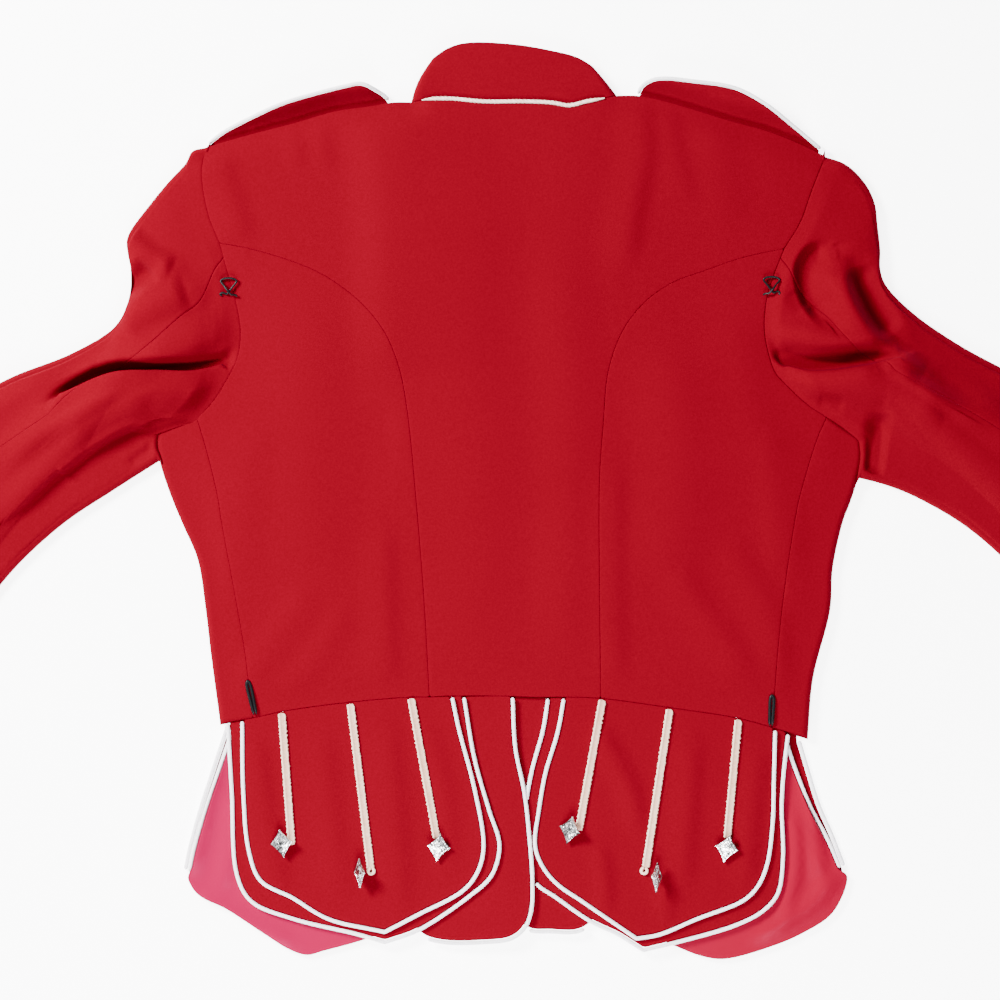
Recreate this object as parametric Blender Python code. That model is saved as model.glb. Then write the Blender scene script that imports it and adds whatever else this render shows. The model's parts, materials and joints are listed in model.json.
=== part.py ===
"""Pipe band doublet, laid flat on its front with the back up.

Plan tables are in millimetres: x to the right of the garment's centre line, y towards the
collar, both seen from above. Heights are millimetres above the surface it lies on. The
finished solids are in metres, +Z up.
"""
import math

import bpy
import bmesh
from mathutils import Matrix, Vector
from mathutils.geometry import delaunay_2d_cdt

MM = 0.001

# Cloth thicknesses, and the gaps between pieces
WOOL = 2.4
SLEEVE_WOOL = 2.2
SKIRT_WOOL = 1.2
SATIN = 1.0
STRAP_WOOL = 2.0
GAP = 0.3
SEAM_HALF = GAP / 2
SLEEVE_SEAM = 0.6
UNDERARM_CLEAR = 1.2

# The back lies on the fronts, and each skirt on the one below
BACK_UNDER = 5.9
BACK_TOP = BACK_UNDER + WOOL
SKIRT_PITCH = SKIRT_WOOL + GAP
HEM_STEP = 1.0

# Cords, braids and hook wire
PIPING_RADIUS = 1.7
PIPING_CLEAR = PIPING_RADIUS + GAP
PIPING_START = 1.4
PIPING_END = 1.6
STRAP_PIPING_RADIUS = 1.4
COLLAR_CORD_RADIUS = 1.7
CORD_ROUNDNESS = 1
BRAID_WIDTH = 6.4
BRAID_HEIGHT = 1.8
BRAID_RING_STEP = 13.0
BRAID_PROFILE = [(-1, 0), (-1, 0.6), (-0.6, 1), (0.6, 1), (1, 0.6), (1, 0)]
WIRE_RADIUS = 0.75
WAIST_WIRE_RADIUS = 0.9

# Where the back dips to the collar seam and falls onto the fronts at the shoulders
NECK_DIP = 1.2
NECK_DIP_WIDTH = 5.0
NECK_DIP_FROM_SHOULDER = 4.0
NECK_DIP_EASES = 10.0
SHOULDER_FALL = 16.0

# Where the fronts lie on the straps and on each other
STRAP_MARGIN = 50.0
STRAP_RAMP = 40.0
STRAP_RISE = 6.0
STRAP_RISES_OVER = 22.0
LAP_FALLS = 26.0
LAP_ENDS = 66.0

# Where the left skirts climb onto the right ones
LEFT_RISE_FROM = -62.0
LEFT_RISE_TO = -4.0

# How finely lines and sheets are cut
LINE_TOLERANCE = 0.3
POINTS_APART = 0.2
MITRE_LEAST = 0.4
TINY = 1e-9
SHEET_REACH = 400.0
BODY_CELL = 42.0
SKIRT_CELL = 30.0
STRAP_CELL = 18.0
CELL_CLEAR = 0.4
SIDE_ROWS = 11
WAIST_STEP = 24.0
WAIST_CUT = 2.0
WAIST_LEAN = 0.02

# Seams of the body, from the collar outwards and down
NECK_SEAM = [(-78, 302), (-62, 304), (-46, 304), (-24, 302), (9, 302), (29, 301), (42, 299), (55, 302), (78, 307)]
SHOULDER = {
    "left": [(-78, 302), (-91, 302), (-109, 299), (-136, 295), (-167, 286), (-198, 278), (-233, 268)],
    "right": [(78, 307), (93, 307), (110, 304), (135, 297), (164, 288), (193, 280), (218, 270), (236, 261)],
}
ARMHOLE = {
    "left": [(-233, 268), (-236, 255), (-236, 240), (-231, 215), (-223, 195), (-220, 184), (-216, 170),
             (-210, 148), (-207, 126), (-210, 107), (-219, 89), (-228, 75), (-240, 62)],
    "right": [(236, 261), (226, 236), (217, 211), (205, 191), (202, 184), (198, 174), (192, 155),
              (190, 141), (190, 126), (193, 111), (198, 97), (207, 87), (222, 73), (237, 63)],
}
PRINCESS_START = {"left": (-223, 195), "right": (205, 191)}
HIND_SEAM_START = {"left": (-220, 184), "right": (202, 184)}
PRINCESS = {
    "left": [(-223, 195), (-201, 191), (-173, 183), (-148, 173), (-129, 161), (-112, 146), (-97, 126),
             (-87, 101), (-81, 70), (-74, 0), (-68, -76), (-64, -149)],
    "right": [(205, 191), (173, 184), (144, 174), (120, 165), (101, 152), (87, 136), (78, 119),
              (71, 95), (68, 60), (65, 17), (65, -68), (66, -150)],
}
SIDE_SEAM = {
    "left": [(-240, 62), (-234, 42), (-229, 23), (-224, 1), (-222, -13), (-212, -68), (-204, -114), (-198, -165)],
    "right": [(237, 63), (230, 47), (222, 22), (216, 0), (213, -15), (205, -68), (200, -114), (196, -172)],
}
SIDE_EDGE = {
    "left": [(-271, 52), (-271, 41), (-267, 23), (-259, 0), (-251, -19), (-240, -45), (-234, -83),
             (-230, -117), (-223, -169)],
    "right": [(263, 45), (264, 33), (261, 17), (255, -2), (250, -15), (242, -51), (240, -83),
              (227, -135), (223, -180)],
}
FRONT_SIDE_SEAM = {
    "left": [(-240, 62), (-224, 20), (-210, -30), (-197, -83), (-186, -125), (-176, -160)],
    "right": [(237, 63), (221, 18), (207, -30), (196, -85), (183, -130), (170, -165)],
}
WAIST = [(-223, -169), (-198, -165), (-176, -160), (-125, -153), (-77, -149), (-64, -149), (-38, -148),
         (-18, -148), (18, -149), (40, -149), (66, -150), (118, -157), (170, -165), (196, -172), (223, -180)]
UNDERARM = {
    "left": [(-240, 62), (-256, 58), (-271, 52), (-272, 41), (-269, 30)],
    "right": [(237, 63), (249, 56), (263, 45), (264, 33), (262, 17)],
}
FRONT_NECK = {
    "left": [(-78, 302), (-70, 272), (-45, 249), (-2, 239), (18, 238)],
    "right": [(78, 307), (70, 273), (45, 249), (2, 239), (-18, 238)],
}
FRONT_EDGE_AT_WAIST = {"left": (18, -149), "right": (-18, -148)}

# Collar band: its free edge over the back, and over the two front halves
COLLAR_FREE_BACK = [(-62, 335), (-50, 343), (-36, 347), (-1, 346), (29, 341), (48, 336), (60, 329)]
COLLAR_FREE_FRONT = {
    "left": [(-62, 335), (-57, 312), (-38, 292), (-2, 284)],
    "right": [(60, 329), (56, 310), (38, 292), (2, 284)],
}
COLLAR_ENDS_AT = 3
COLLAR_FRONT_SHARES = [0, 0.3, 0.65, 1]
COLLAR_FOOT_CLEAR = 1.0
COLLAR_CORD = [(-70, 303.5), (-62, 304.5), (-46, 304.5), (-24, 302.5), (9, 302.5), (29, 301.5), (42, 299.5),
               (55, 302.5), (69, 305)]

# Sleeves: upper edge, hind-arm seam, under edge and the fold above it, from the armhole outwards
SLEEVE_UPPER = {
    "left": [(-233, 268), (-244, 265), (-249, 256), (-262, 242), (-276, 225), (-292, 203), (-294, 195),
             (-291, 180), (-291, 158), (-302, 133), (-335, 112), (-385, 92), (-440, 58), (-490, 8),
             (-530, -52), (-562, -112), (-588, -172), (-612, -228)],
    "right": [(236, 261), (252, 255), (267, 240), (274, 225), (276, 209), (278, 190), (278, 176),
              (282, 164), (302, 143), (338, 118), (386, 92), (440, 58), (490, 8), (530, -52),
              (562, -112), (588, -172), (612, -228)],
}
SLEEVE_HIND = {
    "left": [(-220, 184), (-227, 174), (-235, 155), (-240, 148), (-252, 139), (-271, 122), (-289, 107),
             (-302, 98), (-350, 66), (-405, 28), (-456, -18), (-496, -74), (-528, -134), (-553, -188),
             (-576, -243)],
    "right": [(202, 184), (208, 176), (216, 160), (224, 150), (237, 139), (249, 125), (262, 112),
              (270, 107), (302, 90), (350, 64), (405, 28), (456, -18), (496, -74), (528, -134),
              (553, -188), (576, -243)],
}
SLEEVE_LOWER = {
    "left": [(-269, 30), (-302, 9), (-345, -20), (-388, -62), (-420, -112), (-447, -166), (-470, -222),
             (-492, -278)],
    "right": [(262, 17), (281, 12), (304, 3), (346, -22), (388, -62), (420, -112), (447, -166),
              (470, -222), (492, -278)],
}
SLEEVE_FOLD = {
    "left": [(-272, 53), (-285, 54), (-304, 47), (-335, 24), (-372, -12), (-405, -56), (-436, -108),
             (-466, -166), (-493, -218), (-520, -266)],
    "right": [(264, 46), (278, 50), (294, 47), (330, 26), (370, -12), (405, -56), (436, -108),
              (466, -166), (493, -218), (520, -266)],
}
# The sleeve's rows as shares of its length, and its rounded edges
SLEEVE_ROWS = [0, 0.02, 0.045, 0.075, 0.11, 0.15, 0.2, 0.27, 0.38, 0.52, 0.68, 0.84, 1]
UPPER_COLUMN = 20.0
BENEATH_COLUMN = 60.0
FORE_SEAM = 0.7
EDGE_ROUND = 5.0
NOSE_ANGLES = [50, 0, -50]
ARMHOLE_SHAPE_FADES = 0.16

# The sleeve swells from the armhole, then sinks again along the arm; shares are of its length
SLEEVE_PUFF = 7.0
PUFF_GROWS_OVER = 0.1
PUFF_SINKS_FROM = 0.2
PUFF_SINKS_OVER = 0.5
PUFF_SUNK = 0.7
PUFF_ROUNDNESS = 0.7
FOLDS_FROM_RAIL = 0.12
FOLDS_FROM_ARMHOLE = 0.05
FOLDS_AT_ARMHOLE = 0.25
SLEEVE_FLOOR = 6.6
SLEEVE_HOLLOW = 1.2
STEEPEST_WALL = 1.6

# Folds. Columns: the crest's points, its height, its reach to its left and to its right
FOLD_END_STEEPNESS = 4.0
FOLD_END_KEPT = 0.35
SLEEVE_FOLDS = {
    "left": [
        ([(-292, 190), (-262, 196), (-240, 222)], 6, 26, 30),
        ([(-292, 163), (-272, 168), (-256, 172)], -5, 12, 16),
        ([(-310, 125), (-275, 138), (-250, 140)], 7, 18, 20),
        ([(-330, 92), (-302, 92), (-258, 97), (-218, 105)], -9, 10, 18),
        ([(-340, 60), (-302, 76), (-262, 80), (-232, 84)], 10, 24, 22),
        ([(-300, 44), (-276, 46)], -5, 20, 14),
        ([(-420, 20), (-380, 34), (-350, 60)], 5, 26, 26),
        ([(-500, -120), (-470, -60), (-455, -20)], 4, 30, 30),
    ],
    "right": [
        ([(229, 181), (250, 158), (274, 122)], 7, 16, 18),
        ([(214, 178), (224, 158), (243, 153)], -4, 12, 12),
        ([(247, 185), (258, 160), (265, 138)], -5, 12, 10),
        ([(266, 150), (276, 128), (290, 118)], -6, 12, 14),
        ([(204, 112), (220, 102), (248, 101), (290, 110)], -8, 16, 10),
        ([(214, 90), (248, 84), (290, 88), (330, 80)], 9, 20, 22),
        ([(268, 64), (272, 42), (280, 22)], -4, 12, 12),
        ([(340, 66), (385, 36), (420, 16)], 5, 26, 26),
        ([(455, -20), (472, -62), (500, -120)], 4, 30, 30),
    ],
}
BACK_FOLDS = [
    ([(-152, 284), (-160, 226)], 1.2, 22, 22),
    ([(104, 286), (112, 196)], 1.2, 22, 22),
    ([(-205, -140), (-180, -100), (-150, -60)], 1.4, 26, 26),
    ([(-120, -30), (-112, -130)], 1.0, 24, 24),
    ([(120, -40), (150, -90), (176, -140)], 1.0, 26, 26),
]

# Shoulder straps: the far edge that shows and the hidden edge under the shoulder
STRAP_FAR = {
    "left": [(-231, 270), (-220, 278), (-200, 288), (-175, 299), (-152, 306), (-128, 312), (-116, 314),
             (-106, 310), (-98, 305), (-94, 299)],
    "right": [(95, 306), (98, 313), (105, 317), (115, 318), (134, 316), (166, 311), (186, 301),
              (208, 285), (232, 266)],
}
STRAP_HIDDEN = {
    "left": [(-94, 299), (-97, 284), (-112, 274), (-150, 262), (-190, 250), (-229, 241)],
    "right": [(228, 242), (190, 252), (150, 264), (112, 276), (98, 290), (95, 306)],
}

# Skirts: each edge is one smooth run, or two that meet at a point
LOWER_SKIRT = {
    "left": ([(-217, -167), (-214, -220), (-210, -284), (-199, -304), (-168, -317), (-118, -329), (-98, -335)],
             [(-98, -335), (-73, -326), (-34, -300), (-17, -284), (-11, -261), (-19, -234), (-30, -195), (-38, -148)]),
    "right": ([(26, -149), (22, -174), (14, -203), (9, -232), (9, -262), (16, -289), (32, -301), (58, -319),
               (79, -329), (98, -341)],
              [(98, -341), (119, -336), (168, -322), (189, -311), (200, -298), (204, -272), (203, -230),
               (205, -201), (208, -176)]),
}
UPPER_SKIRT = {
    "left": ([(-206, -164), (-205, -222), (-201, -265), (-192, -288), (-168, -301), (-141, -317), (-98, -327)],
             [(-98, -327), (-73, -314), (-38, -295), (-27, -280), (-23, -261), (-30, -218), (-42, -172), (-47, -148)]),
    "right": ([(38, -149), (33, -176), (24, -206), (19, -234), (16, -261), (21, -276), (32, -290), (52, -304),
               (71, -317), (93, -332)],
              [(93, -332), (110, -329), (139, -317), (174, -303), (185, -292), (192, -275), (196, -245),
               (197, -211), (198, -173)]),
}
CENTRE_FLAP = {
    "left": ([(-80, -149), (-84, -225), (-84, -290), (-81, -315), (-70, -330), (-54, -335), (-24, -335), (-2, -332),
              (8, -324), (13, -311), (14, -288), (12, -259), (8, -222), (1, -187), (-1, -148)],),
    "right": ([(-8, -148), (-6, -220), (-3, -290), (2, -318), (12, -326), (28, -327), (48, -327), (60, -320),
               (70, -300), (73, -260), (74, -200), (74, -151)],),
}
FRONT_SKIRT_SIDE = {
    "left": [(-219, -171), (-229, -201), (-239, -232), (-248, -265), (-251, -280)],
    "right": [(218, -182), (226, -209), (233, -231), (243, -254), (252, -277)],
}
FRONT_SKIRT_HEM = {
    "left": [(-251, -280), (-241, -298), (-218, -310), (-189, -329), (-170, -341), (-157, -345), (-145, -342),
             (-110, -332), (-80, -318), (-62, -298), (-58, -270), (-64, -225), (-72, -185), (-78, -150)],
    "right": [(252, -277), (253, -288), (249, -301), (240, -315), (220, -328), (197, -338), (160, -348),
              (143, -346), (122, -338), (84, -320), (64, -298), (59, -270), (64, -225), (70, -185), (74, -152)],
}
SIDE_PIPING_PITCH = {"left": 4.6, "right": 9.5}
HEM_EASES_OVER = 30.0

# The seen stretches of each edge's piping. Columns: skirt, edge, stretches as name ending, start, end
PIPED_STRETCHES = [
    ("back_skirt_lower_left", LOWER_SKIRT["left"], [("", None, None)]),
    ("back_skirt_upper_left", UPPER_SKIRT["left"], [("", None, None)]),
    ("back_skirt_upper_right", UPPER_SKIRT["right"], [("", None, None)]),
    ("back_skirt_lower_right", LOWER_SKIRT["right"],
     [("_top", (26, -149), (10.5, -219)), ("", (17, -291), (208, -176))]),
    ("centre_flap_left", CENTRE_FLAP["left"], [("", (-66, -332), (-1, -148))]),
    ("centre_flap_right", CENTRE_FLAP["right"], [("", (15, -327), (55, -324))]),
]

# Trim on the upper skirts. Columns: name, side, braid's top, braid's foot, button's centre,
# button's lean and the heading it leans to and its turn in its own plane, all in degrees
TRIM = [
    ("left_outer", "left", (-176, -161), (-171.5, -250), (-176, -259), 16, 205, 8),
    ("left_middle", "left", (-124, -154), (-108, -283), (-117.5, -281), 62, 180, 4),
    ("left_inner", "left", (-78, -150), (-60, -250), (-57, -262), 12, 300, -8),
    ("right_inner", "right", (67, -151), (50.5, -242), (42, -249), 30, 190, -14),
    ("right_middle", "right", (118, -158), (99.5, -281), (108.5, -284), 62, 0, -6),
    ("right_outer", "right", (170, -166), (162, -250), (161, -263), 12, 250, -12),
]
BUTTON_TIPS = {"side": 9.0, "top": 10.4, "foot": 11.6, "waist": 5.6}
BUTTON_CORNERS = 8
BUTTON_SHANK_RADIUS = 1.6
BUTTON_SHANK_LENGTH = 3.4
BUTTON_BACK_BEVEL = 0.3
BUTTON_BACK_SHARE = 0.93
BUTTON_RIM = 1.3
BUTTON_CROWN = 3.0
BUTTON_SHOULDER = 0.75 * BUTTON_CROWN
BUTTON_SHOULDER_SHARE = 0.62

# Belt hooks
SHOULDER_HOOK_AT = {"left": (-216, 161), "right": (195, 162)}
SHOULDER_HOOK = [(-5.2, -6.4, 0), (-6.4, -4.6, 0), (-4.4, -3.6, 0), (-1.5, -4.6, 0), (0.4, -2.6, 0), (3.2, 1.2, 0),
                 (6.0, 5.2, 0), (3.6, 7.0, 0), (-3.6, 7.0, 0), (-6.0, 5.2, 0), (-3.2, 1.2, 1.2),
                 (-0.4, -2.6, 2.4), (2.2, -5.2, 1.2), (5.0, -5.4, 0), (6.6, -6.6, 0)]
WAIST_HOOK_TOP = {"left": (-201.5, -138), "right": (195.5, -149)}
WAIST_HOOK_FOOT = {"left": (-196, -162.5), "right": (194.5, -171)}
WAIST_HOOK_HALF_WIDTH = 1.5
SHOULDER_HOOK_LIFT = 0.6
WAIST_HOOK_LIFT = {"left": 0.9, "right": 0.5}

COLOURS = {
    "wool": ((0.50, 0.006, 0.014), 0.9, 0.0),
    "satin": ((0.58, 0.025, 0.085), 0.35, 0.0),
    "piping": ((0.85, 0.82, 0.82), 0.7, 0.0),
    "braid": ((0.72, 0.66, 0.58), 0.8, 0.0),
    "silver": ((0.8, 0.8, 0.8), 0.25, 1.0),
    "black_wire": ((0.02, 0.02, 0.02), 0.4, 0.6),
}


# Scene and materials

def clear_scene():
    for item in list(bpy.data.objects):
        bpy.data.objects.remove(item, do_unlink=True)


def make_materials():
    made = {}
    for name, (colour, roughness, metallic) in COLOURS.items():
        material = bpy.data.materials.new(name)
        material.use_nodes = True
        shader = material.node_tree.nodes["Principled BSDF"]
        shader.inputs["Base Color"].default_value = (*colour, 1)
        shader.inputs["Roughness"].default_value = roughness
        shader.inputs["Metallic"].default_value = metallic
        made[name] = material
    return made


# Lines and outlines in plan

def ease(amount):
    amount = min(max(amount, 0.0), 1.0)
    return amount * amount * (3 - 2 * amount)


def blend(first, second, amount):
    return tuple(a + (b - a) * amount for a, b in zip(first, second))


def spline_point(before, start, end, after, amount):
    """A point of a centripetal Catmull-Rom span, amount of the way from start to end."""
    knot_1 = math.dist(before, start) ** 0.5
    knot_2 = knot_1 + math.dist(start, end) ** 0.5
    knot_3 = knot_2 + math.dist(end, after) ** 0.5
    knot = knot_1 + (knot_2 - knot_1) * amount
    first = blend(before, start, knot / knot_1)
    second = blend(start, end, (knot - knot_1) / (knot_2 - knot_1))
    third = blend(end, after, (knot - knot_2) / (knot_3 - knot_2))
    early = blend(first, second, knot / knot_2)
    late = blend(second, third, (knot - knot_1) / (knot_3 - knot_1))
    return blend(early, late, (knot - knot_1) / (knot_2 - knot_1))


def smooth_line(points, steps=8):
    """A smooth line through every point, with the given steps in each span."""
    ghost_start = blend(points[1], points[0], 2)
    ghost_end = blend(points[-2], points[-1], 2)
    padded = [ghost_start, *points, ghost_end]
    line = []
    for index in range(1, len(padded) - 2):
        span = padded[index - 1:index + 3]
        line += [spline_point(*span, step / steps) for step in range(steps)]
    line.append(tuple(points[-1]))
    return line


def distance_to_segment(point, start, end):
    along = (end[0] - start[0], end[1] - start[1])
    length = along[0] ** 2 + along[1] ** 2
    reach = ((point[0] - start[0]) * along[0] + (point[1] - start[1]) * along[1]) / max(length, TINY)
    return math.dist(point, blend(start, end, min(max(reach, 0.0), 1.0)))


def thin(line, tolerance=LINE_TOLERANCE):
    """The line with only the corners it needs to stay within the tolerance."""
    if len(line) < 3:
        return list(line)
    distances = [distance_to_segment(point, line[0], line[-1]) for point in line[1:-1]]
    furthest = max(range(len(distances)), key=distances.__getitem__) + 1
    if distances[furthest - 1] < tolerance:
        return [line[0], line[-1]]
    return thin(line[:furthest + 1], tolerance)[:-1] + thin(line[furthest:], tolerance)


def line_length(line):
    return sum(math.dist(start, end) for start, end in zip(line, line[1:]))


def point_along(line, share):
    """The point that lies the given share of the line's length from its start."""
    remaining = share * line_length(line)
    for start, end in zip(line, line[1:]):
        step = math.dist(start, end)
        if remaining <= step:
            return blend(start, end, remaining / max(step, TINY))
        remaining -= step
    return line[-1]


def resample(line, shares):
    return [point_along(line, share) for share in shares]


def nearest_index(line, place):
    return min(range(len(line)), key=lambda index: math.dist(line[index], place))


def part_between(line, start, end):
    """The stretch of the line between the points nearest to two places."""
    first = nearest_index(line, start)
    last = nearest_index(line, end)
    if first <= last:
        return line[first:last + 1]
    return line[last:first + 1][::-1]


def shift_sideways(line, distances):
    """The open line moved to its left by a distance, or by one for each point."""
    if not isinstance(distances, list):
        distances = [distances] * len(line)
    moved = []
    for index, point in enumerate(line):
        before = Vector(line[max(index - 1, 0)])
        here = Vector(point)
        after = Vector(line[min(index + 1, len(line) - 1)])
        arriving = (here - before).normalized() if index else (after - here).normalized()
        leaving = (after - here).normalized() if index < len(line) - 1 else arriving
        normal = Vector((-arriving.y, arriving.x)) + Vector((-leaving.y, leaving.x))
        normal.normalize()
        stretch = max(normal.dot(Vector((-arriving.y, arriving.x))), MITRE_LEAST)
        moved.append(tuple(here + normal * (distances[index] / stretch)))
    return moved


def signed_area(outline):
    ends = outline[1:] + outline[:1]
    return sum(a[0] * b[1] - b[0] * a[1] for a, b in zip(outline, ends)) / 2


def tidy_outline(outline):
    """The closed outline, counter-clockwise and without repeated points."""
    kept = [point for index, point in enumerate(outline) if math.dist(point, outline[index - 1]) > POINTS_APART]
    return kept if signed_area(kept) > 0 else kept[::-1]


def inset(outline, distance):
    """The closed outline moved inwards all round."""
    outline = tidy_outline(outline)
    around = [outline[-1], *outline, outline[0]]
    return shift_sideways(around, distance)[1:-1]


def inside(point, outline):
    hits = 0
    for start, end in zip(outline, outline[1:] + outline[:1]):
        if (start[1] > point[1]) != (end[1] > point[1]):
            crossing = start[0] + (point[1] - start[1]) / (end[1] - start[1]) * (end[0] - start[0])
            hits += crossing > point[0]
    return hits % 2 == 1


def distance_to_line(point, line):
    return min(distance_to_segment(point, start, end) for start, end in zip(line, line[1:]))


def cover(point, outline, margin, ramp):
    """1 inside the outline and its margin, easing to 0 across the ramp outside it."""
    if inside(point, outline):
        return 1.0
    return 1 - ease((distance_to_line(point, outline + outline[:1]) - margin) / ramp)


# Heights

def fold_height(point, folds):
    """The sum of the folds at a place, each one soft across and tapered at both ends."""
    total = 0.0
    for crest, height, left_reach, right_reach in folds:
        length = line_length(crest)
        travelled = 0.0
        best = None
        for start, end in zip(crest, crest[1:]):
            step = math.dist(start, end)
            ahead = Vector(end) - Vector(start)
            offset = Vector(point) - Vector(start)
            held = min(max(offset.dot(ahead) / step, 0.0), step)
            away = math.dist(point, blend(start, end, held / step))
            side = ahead.x * offset.y - ahead.y * offset.x
            if best is None or away < best[0]:
                best = (away, side, (travelled + held) / length)
            travelled += step
        away, side, share = best
        reach = left_reach if side > 0 else right_reach
        taper = ease(min(share, 1 - share) * FOLD_END_STEEPNESS + FOLD_END_KEPT)
        total += height * ease(1 - away / reach) * taper
    return total


def waist_height(x):
    """The y of the waist seam at x."""
    for start, end in zip(WAIST_LINE, WAIST_LINE[1:]):
        if start[0] <= x <= end[0]:
            return start[1] + (end[1] - start[1]) * (x - start[0]) / (end[0] - start[0])
    return WAIST_LINE[0][1] if x < WAIST_LINE[0][0] else WAIST_LINE[-1][1]


class Layer:
    """A flat piece of cloth: its outline in plan, its thickness and how high its underside lies."""

    def __init__(self, outline, thickness, rest, climbs=False):
        self.outline = tidy_outline(outline)
        self.thickness = thickness
        self.rest = rest
        self.climbs = climbs

    def under(self, point):
        return self.rest + (left_rise(point[0]) if self.climbs else 0.0)

    def top(self, point):
        return self.under(point) + self.thickness


def left_rise(x):
    """How far the left skirts climb towards the middle, where they lap over the right ones."""
    share = (x - LEFT_RISE_FROM) / (LEFT_RISE_TO - LEFT_RISE_FROM)
    return 2 * SKIRT_PITCH * min(max(share, 0.0), 1.0)


# Solids

def link(name, data, material):
    item = bpy.data.objects.new(name, data)
    data.materials.append(MATERIALS[material])
    COLLECTION.objects.link(item)
    return item


def finish_mesh(name, mesh, material):
    bmesh.ops.recalc_face_normals(mesh, faces=mesh.faces)
    data = bpy.data.meshes.new(name)
    mesh.to_mesh(data)
    mesh.free()
    return link(name, data, material)


def inner_points(outline, cell):
    """A brick pattern of points inside the outline, clear of its edge."""
    xs = [point[0] for point in outline]
    ys = [point[1] for point in outline]
    closed = outline + outline[:1]
    points = []
    rows = int((max(ys) - min(ys)) / cell) + 1
    columns = int((max(xs) - min(xs)) / cell) + 2
    for row in range(rows):
        for column in range(columns):
            place = (min(xs) + (column + 0.5 * (row % 2)) * cell, min(ys) + (row + 0.5) * cell)
            if inside(place, outline) and distance_to_line(place, closed) > CELL_CLEAR * cell:
                points.append(place)
    return points


def upright_crease(x):
    """A straight crease across everything, at one x."""
    return [(x, -SHEET_REACH), (x, SHEET_REACH)]


def cloth_plate(name, outline, under, thickness, cell, material="wool", creases=()):
    """Cloth lying over what is under it: a closed wall of even thickness on a plan outline."""
    outline = tidy_outline(outline)
    crease_points = []
    edges = []
    for crease in creases:
        first = len(outline) + len(crease_points)
        edges += [(first + index, first + index + 1) for index in range(len(crease) - 1)]
        crease_points += crease
    places = [Vector(point) for point in outline + crease_points + inner_points(outline, cell)]
    ring = list(range(len(outline)))
    corners, _, faces, *_ = delaunay_2d_cdt(places, edges, [ring], 1, 0.0001)
    mesh = bmesh.new()
    low = []
    high = []
    for corner in corners:
        height = under((corner.x, corner.y))
        low.append(mesh.verts.new(Vector((corner.x, corner.y, height)) * MM))
        high.append(mesh.verts.new(Vector((corner.x, corner.y, height + thickness)) * MM))
    for face in faces:
        mesh.faces.new([high[index] for index in face])
        mesh.faces.new([low[index] for index in reversed(face)])
    for edge in [edge for edge in mesh.edges if len(edge.link_faces) == 1 and edge.verts[0] in set(low)]:
        first, second = (low.index(vert) for vert in edge.verts)
        mesh.faces.new([low[first], low[second], high[second], high[first]])
    return finish_mesh(name, mesh, material)


def folded_sheet(name, outer, inner, material="wool"):
    """A wall between two grids of points, closed round its four borders."""
    mesh = bmesh.new()
    rows = len(outer)
    columns = len(outer[0])
    grids = [[[mesh.verts.new(Vector(point) * MM) for point in row] for row in grid] for grid in (outer, inner)]
    for grid in grids:
        for row in range(rows - 1):
            for column in range(columns - 1):
                mesh.faces.new([grid[row][column], grid[row][column + 1],
                                grid[row + 1][column + 1], grid[row + 1][column]])
    skin, back = grids
    for row in range(rows - 1):
        for column in (0, columns - 1):
            mesh.faces.new([skin[row][column], skin[row + 1][column], back[row + 1][column], back[row][column]])
    for column in range(columns - 1):
        for row in (0, rows - 1):
            mesh.faces.new([skin[row][column], skin[row][column + 1], back[row][column + 1], back[row][column]])
    return finish_mesh(name, mesh, material)


def tube(name, points, radius, material):
    """A cord or wire along the points."""
    curve = bpy.data.curves.new(name, "CURVE")
    curve.dimensions = "3D"
    spline = curve.splines.new("POLY")
    spline.points.add(len(points) - 1)
    for target, point in zip(spline.points, points):
        target.co = (*(Vector(point) * MM), 1)
    curve.bevel_depth = radius * MM
    curve.bevel_resolution = CORD_ROUNDNESS
    curve.use_fill_caps = True
    return link(name, curve, material)


# Shared seam lines, worked out once so that both sides of a seam match

def split_line(points, place):
    line = smooth_line(points)
    at = nearest_index(line, place)
    return thin(line[:at + 1]), thin(line[at:])


SIDES = ("left", "right")
SIDE_SHARES = [index / SIDE_ROWS for index in range(SIDE_ROWS + 1)]
WAIST_LINE = smooth_line(WAIST)
SHOULDER_LINE = {side: thin(smooth_line(SHOULDER[side])) for side in SIDES}
SIDE_LINE = {side: resample(smooth_line(SIDE_SEAM[side]), SIDE_SHARES) for side in SIDES}
EDGE_LINE = {side: resample(smooth_line(SIDE_EDGE[side]), SIDE_SHARES) for side in SIDES}
FRONT_SIDE_LINE = {side: resample(smooth_line(FRONT_SIDE_SEAM[side]), SIDE_SHARES) for side in SIDES}
ARMHOLE_LINE = {side: split_line(ARMHOLE[side], PRINCESS_START[side]) for side in SIDES}
PRINCESS_LINE = {side: thin(smooth_line(PRINCESS[side])) for side in SIDES}
STRAP_OUTLINE = {side: tidy_outline(thin(smooth_line(STRAP_FAR[side])) + thin(smooth_line(STRAP_HIDDEN[side]))[1:])
                 for side in SIDES}
BODY_OUTLINE = tidy_outline(SHOULDER_LINE["left"][::-1] + thin(smooth_line(NECK_SEAM))[1:]
                            + SHOULDER_LINE["right"][1:] + [SIDE_SEAM["right"][-1], SIDE_SEAM["left"][-1]])


def waist_between(start, end):
    return thin(part_between(WAIST_LINE, start, end))


# Fronts and back

def strap_lift(point):
    """How far the front is lifted where it lies on a strap."""
    side = "left" if point[0] < 0 else "right"
    return (STRAP_WOOL + GAP) * cover(point, STRAP_OUTLINE[side], STRAP_MARGIN, STRAP_RAMP)


def front_outline(side):
    upper, lower = ARMHOLE_LINE[side]
    bottom = waist_between(FRONT_SIDE_LINE[side][-1], FRONT_EDGE_AT_WAIST[side])
    neck = thin(smooth_line(FRONT_NECK[side]))
    return inset(SHOULDER_LINE[side] + upper[1:] + lower[1:] + FRONT_SIDE_LINE[side][1:]
                 + bottom[1:] + neck[::-1][:-1], SEAM_HALF)


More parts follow.
